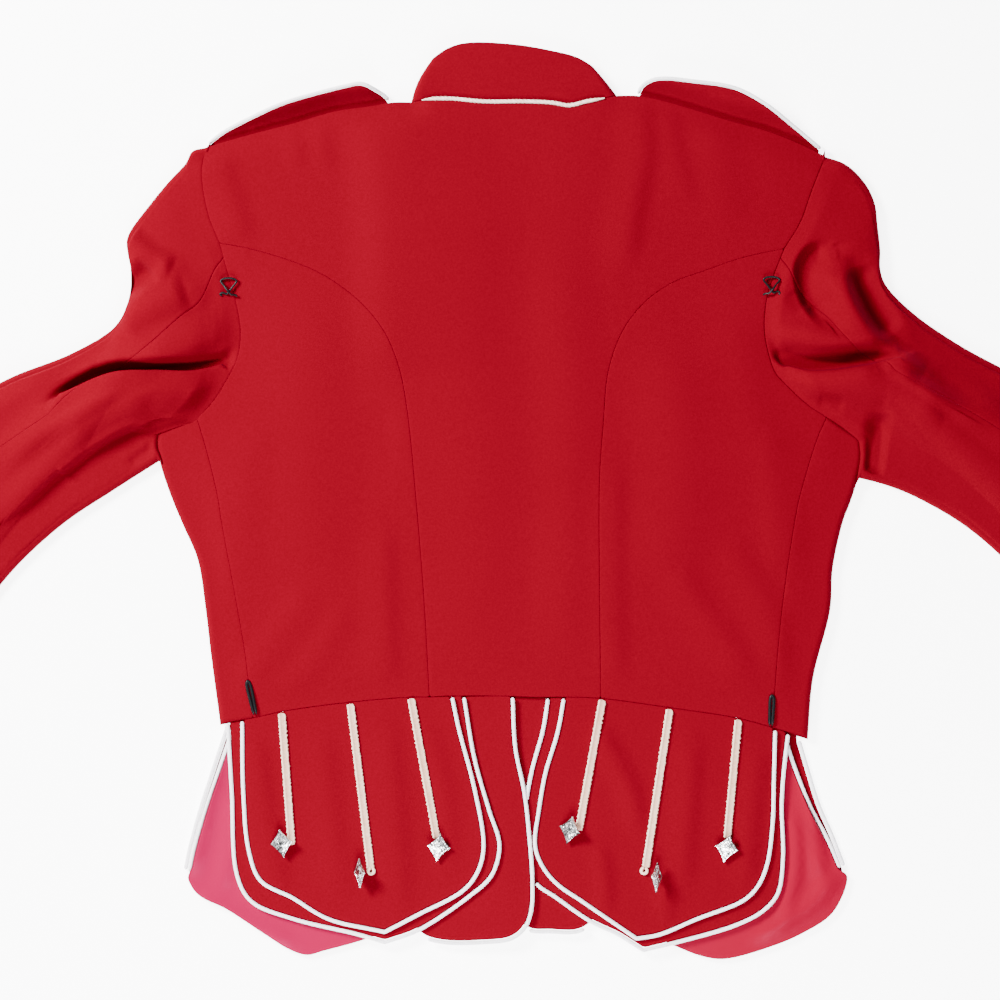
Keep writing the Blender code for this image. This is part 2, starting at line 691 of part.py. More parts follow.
def front_under(side):
    """The front's underside; the right front also laps over the left one at the middle."""
    def under(point):
        height = strap_lift(point)
        if side == "right":
            share = (LAP_ENDS - point[0]) / (LAP_ENDS - LAP_FALLS)
            height += (WOOL + GAP) * min(max(share, 0.0), 1.0)
        return height

    return under


def back_under(point):
    """The underside of the back: flat, falling onto the front at each shoulder edge."""
    side = "left" if point[0] < 0 else "right"
    height = BACK_UNDER + fold_height(point, BACK_FOLDS)
    to_shoulder = distance_to_line(point, SHOULDER_LINE[side])
    resting = strap_lift(point) + WOOL + GAP
    height += (1 - ease(to_shoulder / SHOULDER_FALL)) * (resting - height)
    to_neck = distance_to_line(point, NECK_SEAM)
    clear = ease((to_shoulder - NECK_DIP_FROM_SHOULDER) / NECK_DIP_EASES)
    return height - NECK_DIP * ease(1 - to_neck / NECK_DIP_WIDTH) * clear


def make_body():
    for side in SIDES:
        creases = [upright_crease(x) for x in (LAP_FALLS, LAP_ENDS)] if side == "right" else ()
        cloth_plate(f"front_{side}", front_outline(side), front_under(side), WOOL, BODY_CELL, creases=creases)
    centre = (SHOULDER_LINE["left"] + ARMHOLE_LINE["left"][0][1:] + PRINCESS_LINE["left"][1:]
              + waist_between(PRINCESS["left"][-1], PRINCESS["right"][-1])[1:]
              + PRINCESS_LINE["right"][::-1][1:] + ARMHOLE_LINE["right"][0][::-1][1:]
              + SHOULDER_LINE["right"][::-1][1:] + thin(smooth_line(NECK_SEAM))[::-1][1:-1])
    cloth_plate("back_centre", inset(centre, SEAM_HALF), back_under, WOOL, BODY_CELL)
    for side in SIDES:
        lower = ARMHOLE_LINE[side][1]
        hem = waist_between(SIDE_SEAM[side][-1], PRINCESS[side][-1])
        outline = lower + SIDE_LINE[side][1:] + hem[1:] + PRINCESS_LINE[side][::-1][1:-1]
        cloth_plate(f"back_side_{side}", inset(outline, SEAM_HALF), back_under, WOOL, BODY_CELL)
        make_side_panel(side)


def turn_round(edge, inward, top, bottom, reach, wall):
    """Outer and inner points round a folded edge, from the top layer to the bottom one."""
    middle = (top + bottom) / 2
    half = (top - bottom) / 2
    outer = []
    inner = []
    for degrees in NOSE_ANGLES:
        angle = math.radians(degrees)
        depth = reach * (1 - math.cos(angle))
        outer.append((edge[0] + inward[0] * depth, edge[1] + inward[1] * depth, middle + half * math.sin(angle)))
        depth = reach - (reach - wall) * math.cos(angle)
        inner.append((edge[0] + inward[0] * depth, edge[1] + inward[1] * depth,
                      middle + (half - wall) * math.sin(angle)))
    return outer, inner


def make_side_panel(side):
    outer = []
    inner = []
    for seam, edge, front in zip(SIDE_LINE[side], EDGE_LINE[side], FRONT_SIDE_LINE[side]):
        inward = Vector((seam[0] - edge[0], seam[1] - edge[1])).normalized()
        start = Vector(seam) - inward * SEAM_HALF
        near = Vector(edge) + inward * EDGE_ROUND
        low = Vector(front) + (Vector(edge) - Vector(front)).normalized() * SEAM_HALF
        height = back_under(seam)
        nose_out, nose_in = turn_round(edge, inward, BACK_TOP, 0.0, EDGE_ROUND, WOOL)
        outer.append([(*start, height + WOOL), (*start.lerp(near, 0.5), BACK_TOP), (*near, BACK_TOP), *nose_out,
                      (*near, 0), (*near.lerp(low, 0.5), 0), (*low, 0)])
        inner.append([(*start, height), (*start.lerp(near, 0.5), BACK_UNDER), (*near, BACK_UNDER), *nose_in,
                      (*near, WOOL), (*near.lerp(low, 0.5), WOOL), (*low, WOOL)])
    drop = Vector((0, -GAP, 0))
    for grid in (outer, inner):
        grid[0] = [tuple(Vector(point) + drop) for point in grid[0]]
        grid[-1] = [tuple(Vector(point) - drop * 0.5) for point in grid[-1]]
    folded_sheet(f"side_panel_{side}", outer, inner)


# Sleeves

def patch_point(start_curve, first_rail, last_rail, along, across):
    """A point between two rails; the start curve's shape fades out along them."""
    first = point_along(first_rail, along)
    last = point_along(last_rail, along)
    bow = Vector(point_along(start_curve, across)) - Vector(blend(start_curve[0], start_curve[-1], across))
    kept = max(1 - along / ARMHOLE_SHAPE_FADES, 0.0)
    return tuple(Vector(blend(first, last, across)) + bow * kept)


def sleeve_top_height(point, side, along, across):
    """The outer surface of the sleeve's upper layer."""
    sunk = PUFF_SUNK * ease((along - PUFF_SINKS_FROM) / PUFF_SINKS_OVER)
    swell = ease(along / PUFF_GROWS_OVER) * (1 - sunk) * math.sin(math.pi * across) ** PUFF_ROUNDNESS
    from_rail = ease(min(across, 1 - across) / FOLDS_FROM_RAIL)
    from_armhole = FOLDS_AT_ARMHOLE + (1 - FOLDS_AT_ARMHOLE) * ease(along / FOLDS_FROM_ARMHOLE)
    folds = fold_height(point, SLEEVE_FOLDS[side]) * from_rail * from_armhole
    return max(BACK_TOP + SLEEVE_PUFF * swell + folds, SLEEVE_FLOOR)


def sleeve_patches(side):
    """The sleeve in plan, as three stretches side by side from its upper edge to its under edge."""
    sign = 1 if side == "left" else -1
    armhole = smooth_line(ARMHOLE[side])
    top_edge = smooth_line(UNDERARM[side][:3])
    side_edge = smooth_line(UNDERARM[side][2:])
    beneath = top_edge[1:] + side_edge[1:]
    clear = [-SLEEVE_SEAM * sign] * len(armhole) + [-UNDERARM_CLEAR * sign] * len(beneath)
    ring = shift_sideways(armhole + beneath, clear)
    hind = nearest_index(ring, HIND_SEAM_START[side])
    corner = len(armhole) + len(top_edge) - 2
    starts = [ring[:hind + 1], ring[hind:corner + 1], ring[corner:]]
    rails = [smooth_line(table[side]) for table in (SLEEVE_UPPER, SLEEVE_HIND, SLEEVE_FOLD, SLEEVE_LOWER)]
    for rail, place in zip(rails, (ring[0], ring[hind], ring[corner], ring[-1])):
        rail[0] = place
    return list(zip(starts, rails, rails[1:]))


def column_shares(line, longest):
    """Shares along the line at each of its corners, and between corners that lie far apart."""
    corners = shares_of(thin(line))
    shares = []
    for start, end in zip(corners, corners[1:]):
        steps = max(math.ceil((end - start) * line_length(line) / longest), 1)
        shares += [start + (end - start) * step / steps for step in range(steps)]
    return [*shares, 1.0]


def stretch_columns(patches, chosen, longest):
    """For the chosen patches, each column's patch, its share of that patch and of the whole ring."""
    lengths = [line_length(patch[0]) for patch in patches]
    columns = []
    for index in chosen:
        shares = column_shares(patches[index][0], longest)
        if columns:
            shares = shares[1:]
        before = sum(lengths[:index])
        columns += [(patches[index], share, (before + share * lengths[index]) / sum(lengths)) for share in shares]
    return columns


def place_columns(columns, along):
    """Each column's place at one row, with its share of the whole ring."""
    return [(patch_point(*patch, along, share), across) for patch, share, across in columns]


def sleeve_rows(side):
    """For each row, the points of the upper layer above and below the hind seam, and of the lower layer."""
    patches = sleeve_patches(side)
    upper = stretch_columns(patches, [0], UPPER_COLUMN)
    lower = stretch_columns(patches, [1, 2], UPPER_COLUMN)
    beneath = stretch_columns(patches, [0, 1, 2], BENEATH_COLUMN)[1:-1]
    fore = min(range(len(beneath)), key=lambda index: abs(beneath[index][2] - FORE_SEAM))
    for along in SLEEVE_ROWS:
        low = [place for place, _ in place_columns(beneath, along)]
        yield along, place_columns(upper, along), place_columns(lower, along), low, fore


def sleeve_layer(points, side, along):
    """Outer and inner points of a stretch of the upper layer, thicker upright where it is steep."""
    heights = [sleeve_top_height(place, side, along, across) for place, across in points]
    outer = []
    inner = []
    for index, (place, _) in enumerate(points):
        before = max(index - 1, 0)
        after = min(index + 1, len(points) - 1)
        run = math.dist(points[before][0], points[after][0])
        slope = (heights[after] - heights[before]) / max(run, TINY)
        steepness = min(math.sqrt(1 + slope * slope), STEEPEST_WALL)
        outer.append((*place, heights[index]))
        inner.append((*place, max(heights[index] - SLEEVE_WOOL * steepness, SLEEVE_WOOL + SLEEVE_HOLLOW)))
    return outer, inner


def pull_in(points, reach):
    """The first of the points moved inwards from the rail by the edge's rounding."""
    rail = points[0][0]
    direction = (Vector(points[1][0]) - Vector(rail)).normalized()
    moved = tuple(Vector(rail) + direction * reach)
    return rail, tuple(direction), [(moved, points[0][1]), *points[1:]]


def sleeve_shell(points, side, along, floor):
    """One piece in one row: its upper layer, round the folded edge, and its lower layer."""
    rail, inward, points = pull_in(points, EDGE_ROUND)
    seam_step = (Vector(points[-2][0]) - Vector(points[-1][0])).normalized() * SEAM_HALF
    points[-1] = (tuple(Vector(points[-1][0]) + seam_step), points[-1][1])
    outer, inner = sleeve_layer(points, side, along)
    nose_out, nose_in = turn_round(rail, inward, outer[0][2], 0.0, EDGE_ROUND, SLEEVE_WOOL)
    low = [tuple(Vector(rail) + Vector(inward) * EDGE_ROUND), *floor]
    return (outer[::-1] + nose_out + [(*place, 0) for place in low],
            inner[::-1] + nose_in + [(*place, SLEEVE_WOOL) for place in low])


def make_sleeve(side):
    """The top and under sleeve, which meet at the hind-arm seam above and the forearm seam below."""
    sign = 1 if side == "left" else -1
    rows = list(sleeve_rows(side))
    seam = [beneath[fore] for _, _, _, beneath, fore in rows]
    top_seam = shift_sideways(seam, -SEAM_HALF * sign)
    under_seam = shift_sideways(seam, SEAM_HALF * sign)
    top_piece = []
    under_piece = []
    for index, (along, upper, lower, beneath, fore) in enumerate(rows):
        top_piece.append(sleeve_shell(upper, side, along, [*beneath[:fore], top_seam[index]]))
        under_piece.append(sleeve_shell(lower[::-1], side, along, [*beneath[:fore:-1], under_seam[index]]))
    for name, piece in (("top", top_piece), ("under", under_piece)):
        folded_sheet(f"sleeve_{name}_{side}", [row[0] for row in piece], [row[1] for row in piece])


# Collar

def shares_of(line):
    """How far along the line each of its points lies, from 0 to 1."""
    total = line_length(line)
    shares = [0.0]
    for start, end in zip(line, line[1:]):
        shares.append(shares[-1] + math.dist(start, end) / total)
    return shares


def collar_row(seam, free, high, low):
    """Outer and inner points across the band, from just off its seam to its free edge."""
    start = Vector(seam) + (Vector(free) - Vector(seam)).normalized() * SEAM_HALF
    middle = start.lerp(Vector(free), 0.5)
    dip = NECK_DIP if high > BACK_UNDER else 0
    return ([(*start, high - dip), (*middle, high), (*free, high)],
            [(*start, low - dip), (*middle, low), (*free, low)])


def collar_turn(seam, free, inward):
    """The band's rows round its folded end, from the back down to the front."""
    nose_seam = turn_round(seam, inward, BACK_TOP, 0.0, EDGE_ROUND, WOOL)
    nose_free = turn_round(free, inward, BACK_TOP, 0.0, EDGE_ROUND, WOOL)
    rows = []
    for index in range(len(NOSE_ANGLES)):
        faces = []
        for face in range(2):
            foot = Vector(nose_seam[face][index])
            top = Vector(nose_free[face][index])
            start = foot + (top - foot).normalized() * COLLAR_FOOT_CLEAR
            faces.append([tuple(start), tuple(start.lerp(top, 0.5)), tuple(top)])
        rows.append(tuple(faces))
    return rows


def collar_front(side):
    """Rows of the band's front half, from its folded end to the middle."""
    neck = smooth_line(FRONT_NECK[side])
    seam = resample(part_between(neck, FRONT_NECK[side][0], FRONT_NECK[side][COLLAR_ENDS_AT]), COLLAR_FRONT_SHARES)
    free = resample(smooth_line(COLLAR_FREE_FRONT[side]), COLLAR_FRONT_SHARES)
    return seam, free


def collar_back():
    """The seam and free edge over the back, short of the folded ends."""
    seam = thin(smooth_line(NECK_SEAM))
    seam[0] = point_along(seam, EDGE_ROUND / line_length(seam))
    seam[-1] = point_along(seam, 1 - EDGE_ROUND / line_length(seam))
    line = smooth_line(COLLAR_FREE_BACK)
    line[0] = (line[0][0] + EDGE_ROUND, line[0][1])
    line[-1] = (line[-1][0] - EDGE_ROUND, line[-1][1])
    return seam, resample(line, shares_of(seam))


def make_collar():
    left_seam, left_free = collar_front("left")
    right_seam, right_free = collar_front("right")
    front_left = [collar_row(*ends, WOOL, 0.0) for ends in zip(left_seam, left_free)]
    front_right = [collar_row(*ends, WOOL, 0.0) for ends in zip(right_seam, right_free)]
    back = [collar_row(*ends, BACK_TOP, BACK_UNDER) for ends in zip(*collar_back())]
    turned_left = collar_turn(left_seam[0], left_free[0], (1, 0))[::-1]
    turned_right = collar_turn(right_seam[0], right_free[0], (-1, 0))
    rows = ([row[::-1] for row in front_left[:0:-1]] + turned_left + back + turned_right
            + [row[::-1] for row in front_right[1:]])
    folded_sheet("collar", [row[0] for row in rows], [row[1] for row in rows])
    cord_height = BACK_TOP - NECK_DIP + GAP + COLLAR_CORD_RADIUS
    tube("collar_piping", [(*point, cord_height) for point in thin(smooth_line(COLLAR_CORD))],
         COLLAR_CORD_RADIUS, "braid")


# Straps

def make_strap(side):
    """A strap lying under the shoulder, rising a little where it comes out beyond it."""
    def under(point):
        if inside(point, BODY_OUTLINE):
            return 0.0
        beyond = max(distance_to_line(point, SHOULDER_LINE[side]) - GAP, 0.0)
        return STRAP_RISE * ease(beyond / STRAP_RISES_OVER)

    far = thin(smooth_line(STRAP_FAR[side]))
    cloth_plate(f"strap_{side}", STRAP_OUTLINE[side], under, STRAP_WOOL, STRAP_CELL, creases=[SHOULDER_LINE[side]])
    path = []
    for place, edge in zip(shift_sideways(far, STRAP_PIPING_RADIUS + GAP), far):
        clear = distance_to_line(place, SHOULDER_LINE[side]) > STRAP_PIPING_RADIUS + 2 * GAP
        if clear and not inside(place, BODY_OUTLINE):
            path.append((*place, under(edge) + STRAP_PIPING_RADIUS))
    tube(f"strap_piping_{side}", path, STRAP_PIPING_RADIUS, "piping")


# Skirts

def skirt_edge(runs):
    """The edge's centre line, from the waist round to the waist."""
    line = thin(smooth_line(runs[0]))
    for run in runs[1:]:
        line += thin(smooth_line(run))[1:]
    return line


def hang_from_waist(line):
    """A closed outline: the line, cut at the waist seam and closed along it."""
    def below(point):
        return point[1] < waist_height(point[0]) - WAIST_CUT

    def at_waist(point, neighbour):
        return (point[0] + (neighbour[0] - point[0]) * WAIST_LEAN, waist_height(point[0]) - GAP)

    kept = [point for point in line if below(point)]
    start = at_waist(line[0], kept[0])
    end = at_waist(line[-1], kept[-1])
    steps = max(int(abs(end[0] - start[0]) / WAIST_STEP), 1)
    along_waist = []
    for step in range(1, steps):
        x = end[0] + (start[0] - end[0]) * step / steps
        along_waist.append((x, waist_height(x) - GAP))
    return [start, *kept, end, *along_waist]


def skirt_outline(runs):
    """The cloth inside a piped edge."""
    return hang_from_waist(shift_sideways(skirt_edge(runs), PIPING_CLEAR))


def front_skirt_outline(side, side_inset, hem_inset):
    """A layer's outline, drawn in by one amount along the side edge and another along the hem."""
    sign = 1 if side == "left" else -1
    edge = thin(smooth_line(FRONT_SKIRT_SIDE[side]))
    hem = thin(smooth_line(FRONT_SKIRT_HEM[side]))
    line = edge + hem[1:]
    distances = []
    travelled = 0.0
    corner = line_length(edge)
    for index, point in enumerate(line):
        travelled += math.dist(point, line[index - 1]) if index else 0
        share = ease((travelled - corner) / HEM_EASES_OVER)
        distances.append(sign * (side_inset + (hem_inset - side_inset) * share))
    return hang_from_waist(shift_sideways(line, distances))


def front_skirt_layers(side):
    """The two wool layers and the lining, each lying on the one before."""
    clear = PIPING_RADIUS + PIPING_CLEAR
    pitch = SIDE_PIPING_PITCH[side]
    return {
        "outer": Layer(front_skirt_outline(side, clear, 2 * HEM_STEP), SKIRT_WOOL, 0.0),
        "inner": Layer(front_skirt_outline(side, clear + pitch, HEM_STEP), SKIRT_WOOL, SKIRT_PITCH),
        "lining": Layer(front_skirt_outline(side, clear + pitch, 0.0), SATIN, 2 * SKIRT_PITCH),
    }


def back_skirt_layers():
    """The centre flaps and the back skirts, lying on the front skirts in this order."""
    layers = {}
    for side in SIDES:
        rest = 2 * SKIRT_PITCH + SATIN + GAP
        for name, edges in (("centre_flap", CENTRE_FLAP), ("back_skirt_lower", LOWER_SKIRT),
                            ("back_skirt_upper", UPPER_SKIRT)):
            layers[f"{name}_{side}"] = Layer(skirt_outline(edges[side]), SKIRT_WOOL, rest, side == "left")
            rest += SKIRT_PITCH
    return layers


def piping_along(name, layer, line):
    tube(name, [(*point, layer.under(point) + PIPING_RADIUS) for point in line], PIPING_RADIUS, "piping")


def drop_ends(line, length):
    """The line without a short length at each end."""
    first = length / line_length(line)
    kept = [point for point, share in zip(line, shares_of(line)) if first < share < 1 - first]
    return [point_along(line, first), *kept, point_along(line, 1 - first)]


def below_waist(line):
    """The stretch of the line that lies clear below the waist seam."""
    return [point for point in line if point[1] < waist_height(point[0]) - PIPING_START]


def make_front_skirt(side):
    """The layers that show beside the back skirts, with a piping on each wool layer's side edge."""
    layers = front_skirt_layers(side)
    for part, layer in layers.items():
        material = "satin" if part == "lining" else "wool"
        cloth_plate(f"front_skirt_{part}_{side}", layer.outline, layer.under, layer.thickness, SKIRT_CELL, material)
    sign = 1 if side == "left" else -1
    edge = smooth_line(FRONT_SKIRT_SIDE[side])
    for part, away in (("outer", 0.0), ("inner", SIDE_PIPING_PITCH[side])):
        line = thin(below_waist(shift_sideways(edge, sign * (PIPING_RADIUS + away))))
        piping_along(f"front_skirt_piping_{part}_{side}", layers[part], line)


def make_back_skirts():
    """The centre flaps and the two layers of the back skirts, each with its edge piping."""
    layers = back_skirt_layers()
    for name, layer in layers.items():
        creases = [upright_crease(x) for x in (LEFT_RISE_FROM, LEFT_RISE_TO)] if layer.climbs else ()
        cloth_plate(name, layer.outline, layer.under, layer.thickness, SKIRT_CELL, creases=creases)
    for name, runs, stretches in PIPED_STRETCHES:
        line = []
        for run in runs:
            line += smooth_line(run)[1 if line else 0:]
        for suffix, start, end in stretches:
            stretch = part_between(line, start, end) if start else line
            path = thin(below_waist(drop_ends(stretch, PIPING_END)))
            piping_along(f"{name}_piping{suffix}", layers[name], path)
    return layers


# Braids, buttons and hooks

def make_braid(name, layer, top, foot):
    """A flat cord sewn down the skirt, with rounded sides."""
    across = Vector((foot[1] - top[1], top[0] - foot[0])).normalized()
    half = BRAID_WIDTH / 2
    count = max(int(math.dist(top, foot) / BRAID_RING_STEP), 2)
    rings = []
    for index in range(count + 1):
        centre = Vector(blend(top, foot, index / count))
        rest = max(layer.top(tuple(centre + across * side)) for side in (-half, 0, half)) + GAP
        rings.append([(*(centre + across * half * offset), rest + share * BRAID_HEIGHT)
                      for offset, share in BRAID_PROFILE])
    mesh = bmesh.new()
    corners = skin_rings(mesh, rings)
    mesh.faces.new(corners[-1])
    finish_mesh(name, mesh, "braid")


def skin_rings(mesh, rings):
    """Walls between the rings, with the first ring closed."""
    corners = [[mesh.verts.new(Vector(point) * MM) for point in ring] for ring in rings]
    for ring, following in zip(corners, corners[1:]):
        for index in range(len(ring)):
            after = (index + 1) % len(ring)
            mesh.faces.new([ring[index], ring[after], following[after], following[index]])
    mesh.faces.new(corners[0])
    return corners


def ring_at(height, radii):
    """A level ring with one corner at each radius, evenly turned."""
    ring = []
    for index, radius in enumerate(radii):
        angle = math.tau * index / len(radii)
        ring.append(Vector((radius * math.cos(angle), radius * math.sin(angle), height)))
    return ring


def button_rings():
    """The button's outlines from the foot of its shank to its crown, face up, long axis along y."""
    shank = [BUTTON_SHANK_RADIUS] * BUTTON_CORNERS
    lozenge = []
    for tip in ("side", "top", "side", "foot"):
        lozenge += [BUTTON_TIPS[tip], BUTTON_TIPS["waist"]]
    back = BUTTON_SHANK_LENGTH
    rings = [ring_at(0, shank), ring_at(back, shank)]
    for height, share in ((BUTTON_BACK_BEVEL, BUTTON_BACK_SHARE), (BUTTON_RIM, 1),
                          (BUTTON_SHOULDER, BUTTON_SHOULDER_SHARE)):
        rings.append(ring_at(back + height, [radius * share for radius in lozenge]))
    return rings, Vector((0, 0, back + BUTTON_CROWN))


def make_button(name, layer, centre, lean, towards, turn):
    """A lozenge button whose face centre is over the given place, leaning over until it lies on the skirt."""
    rings, crown = button_rings()
    heading = math.radians(towards)
    axis = Vector((-math.sin(heading), math.cos(heading), 0))
    turned = Matrix.Rotation(math.radians(lean), 4, axis) @ Matrix.Rotation(math.radians(turn), 4, "Z")
    hub = turned @ Vector((0, 0, BUTTON_SHANK_LENGTH + BUTTON_RIM))
    points = [[turned @ point for point in ring] for ring in rings]
    lowest = min(point.z for ring in points for point in ring)
    shift = Vector((centre[0] - hub.x, centre[1] - hub.y, layer.top(centre) + GAP - lowest))
    mesh = bmesh.new()
    shoulder = skin_rings(mesh, [[point + shift for point in ring] for ring in points])[-1]
    apex = mesh.verts.new((turned @ crown + shift) * MM)
    for index, corner in enumerate(shoulder):
        mesh.faces.new([corner, shoulder[(index + 1) % len(shoulder)], apex])
    finish_mesh(name, mesh, "silver")


def make_trim(layers):
    for name, side, top, foot, button, lean, towards, turn in TRIM:
        layer = layers[f"back_skirt_upper_{side}"]
        make_braid(f"braid_{name}", layer, top, foot)
        make_button(f"button_{name}", layer, button, lean, towards, turn)


def make_shoulder_hook(side):
    """A bent wire lying on the armhole seam."""
    mirror = 1 if side == "left" else -1
    x, y = SHOULDER_HOOK_AT[side]
    rest = BACK_TOP + GAP + WIRE_RADIUS + SHOULDER_HOOK_LIFT
    path = [(x + mirror * u, y + v, rest + w) for u, v, w in SHOULDER_HOOK]
    tube(f"shoulder_hook_{side}", path, WIRE_RADIUS, "black_wire")


def make_waist_hook(side):
    """A hairpin of wire coming out of the side seam over the waist."""
    top = Vector(WAIST_HOOK_TOP[side])
    foot = Vector(WAIST_HOOK_FOOT[side])
    upwards = (top - foot).normalized() * WAIST_HOOK_HALF_WIDTH
    across = Vector((-upwards.y, upwards.x))
    rest = BACK_TOP + WAIST_HOOK_LIFT[side] + WAIST_WIRE_RADIUS
    path = [foot + across, top + across, top + upwards, top - across, foot - across]
    tube(f"waist_hook_{side}", [(*point, rest) for point in path], WAIST_WIRE_RADIUS, "black_wire")


def main():
    make_body()
    make_collar()
    for side in SIDES:
        make_sleeve(side)
        make_strap(side)
        make_front_skirt(side)
    layers = make_back_skirts()
    make_trim(layers)
    for side in SIDES:
        make_shoulder_hook(side)
        make_waist_hook(side)


clear_scene()
MATERIALS = make_materials()
COLLECTION = bpy.data.collections.new("pipe_band_doublet")
bpy.context.scene.collection.children.link(COLLECTION)
main()
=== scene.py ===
"""Pipe band doublet, laid flat on its front with the back up: how it looks.

Plan tables are in millimetres, x to the right of the garment's centre line and y towards the
collar, as seen from above. Heights are millimetres above the surface it lies on. Meshes are in
metres, +Z up.
"""
import json
import math

import bpy
import bmesh
from mathutils import Matrix, Vector, noise
from mathutils.geometry import delaunay_2d_cdt
from mathutils.kdtree import KDTree

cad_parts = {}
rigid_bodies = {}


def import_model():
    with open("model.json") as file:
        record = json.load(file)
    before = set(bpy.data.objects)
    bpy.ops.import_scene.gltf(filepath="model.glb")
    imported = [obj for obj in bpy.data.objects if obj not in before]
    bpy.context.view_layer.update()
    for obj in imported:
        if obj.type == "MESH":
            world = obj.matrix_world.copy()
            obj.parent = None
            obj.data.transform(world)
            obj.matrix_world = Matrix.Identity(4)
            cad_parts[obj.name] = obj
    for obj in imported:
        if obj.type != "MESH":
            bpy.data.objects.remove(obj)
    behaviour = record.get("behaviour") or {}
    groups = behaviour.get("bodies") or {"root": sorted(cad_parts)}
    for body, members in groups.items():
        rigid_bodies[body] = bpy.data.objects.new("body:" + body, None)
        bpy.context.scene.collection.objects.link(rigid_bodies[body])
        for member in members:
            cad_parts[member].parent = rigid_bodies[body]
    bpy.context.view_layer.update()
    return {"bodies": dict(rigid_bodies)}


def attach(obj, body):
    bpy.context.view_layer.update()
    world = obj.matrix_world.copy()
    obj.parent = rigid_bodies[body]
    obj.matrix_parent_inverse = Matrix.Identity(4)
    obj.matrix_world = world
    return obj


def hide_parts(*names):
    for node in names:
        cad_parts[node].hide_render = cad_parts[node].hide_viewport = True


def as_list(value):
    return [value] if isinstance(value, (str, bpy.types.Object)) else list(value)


MM = 0.001
TINY = 1e-9

# Cloth and how its layers are stacked
WOOL = 2.4
SLEEVE_WOOL = 2.2
SKIRT_WOOL = 1.2
SATIN = 1.0
STRAP_WOOL = 2.0
GAP = 0.3
SEAM_HALF = 0.03
SLEEVE_SEAM = 0.2
BACK_UNDER = 5.9
BACK_TOP = BACK_UNDER + WOOL
SKIRT_PITCH = SKIRT_WOOL + GAP
FRONT_SKIRTS_TOP = 2 * SKIRT_PITCH + SATIN + GAP
LEFT_RISE_FROM = -62.0
LEFT_RISE_TO = -4.0
LAP_FALLS = 26.0
LAP_ENDS = 66.0
LOWER_LAYER_BELOW = BACK_UNDER - 1

# Cords, braids and wires
PIPING_RADIUS = 1.5
PIPING_CLEAR = 1.85
PIPING_START = 0.6
PIPING_END_CLEAR = 1.2
STRAP_PIPING_RADIUS = 1.4
COLLAR_CORD_RADIUS = 1.55
BRAID_WIDTH = 5.7
BRAID_HEIGHT = 1.8
WIRE_RADIUS = 0.75
WAIST_WIRE_RADIUS = 1.2

# How the back falls to the neck, the shoulders and the waist, and how uneven it lies
NECK_DIP = 1.2
NECK_DIP_WIDTH = 5.0
NECK_DIP_SHARE = 0.3
NECK_DIP_FROM_SHOULDER = 4.0
NECK_DIP_RAMP = 10.0
SHOULDER_FALL = 16.0
WAIST_FADE = 26.0
FRONT_WAIST_DROP = 1.2
WAIST_CUT = 2.0
WAIST_STEP = 12.0
WAIST_LEAN = 0.02
BACK_UNEVEN = 0.8
UNEVEN_SCALE = 0.012
UNEVEN_SEED = 5.0

# How the straps rise beyond the shoulder and lift the front that lies on them
STRAP_MARGIN = 50.0
STRAP_RAMP = 40.0
STRAP_RISE = 13.0
STRAP_RISE_REACH = 17.0

# How finely lines and cloth are divided
SPLINE_STEPS = 8
FOLD_STEPS = 4
LINE_TOLERANCE = 0.1
REGION_TOLERANCE = 0.15
REPEAT_WITHIN = 0.2
MITRE_LEAST = 0.4
NEARNESS_STEP = 0.5
EDGE_STEP = 2.6
EDGE_RINGS = [0.7, 1.8, 3.6]
RING_CLEAR = 0.85
CLOTH_CELL = 6.5
SKIRT_CELL = 5.0
STRAP_CELL = 4.0
CELL_CLEAR = 0.4
FILL_INSIDE = 1
MERGE_WITHIN = 0.0001

# How a cloth's edges round over and its seams are pressed
EDGE_ROLL = 0.5
EDGE_ROLL_DROP = 0.09
SEAM_PRESS = 2.6
SEAM_PRESS_DROP = 0.10
EDGE_ROUND = 5.0
EDGE_ROUND_CLEAR = 0.8
NOSE_ANGLES = [78, 60, 40, 20, 0, -20, -40, -60, -78]

# Sleeves, in shares of their length: how they swell, and where folds and seams begin and end
SLEEVE_PUFF = 13.0
SWELL_AT_HEAD = {"left": 0.12, "right": 0.32}
HEAD_SWELLS_OVER = 0.024
SWELL_GROWS_OVER = 0.14
SWELL_SINKS_FROM = 0.2
SWELL_SINKS_OVER = 0.5
SWELL_SUNK = 0.6
ARMHOLE_SHAPE_FADES = 0.16
HEAD_FOLLOWS = 0.06
ARMHOLE_PRESS_DROP = 0.3
ARMHOLE_PRESS_OVER = 0.006
RIDGES_GROW_OVER = 0.04
HOLLOWS_GROW_OVER = 0.016
FOLDS_FROM_RAIL = 0.03
FOLD_END_STEEPNESS = 4.0
FOLD_END_KEPT = 0.35
RIPPLE = 0.8
RIPPLE_SCALE = 0.03
RIPPLE_SEED = 2.0
SLEEVE_FLOOR = 5.4
STEEPEST = 1.6
LEAST_RUN = 1e-6
FORE_SEAM = 0.7
SLEEVE_HEAD_ROW = 0.0028
SLEEVE_HEAD_ENDS = 0.26
SLEEVE_ROW = 0.014
SLEEVE_COLUMN = 1.7
BENEATH_COLUMN = 12.0
HEADING_COLUMN = 3

# The sleeve's head turned in under the body
TUCK = 1.8
TUCK_DROP = 2.15
TUCK_INNER_DROP = 0.7
TUCK_ENDS = 5.0

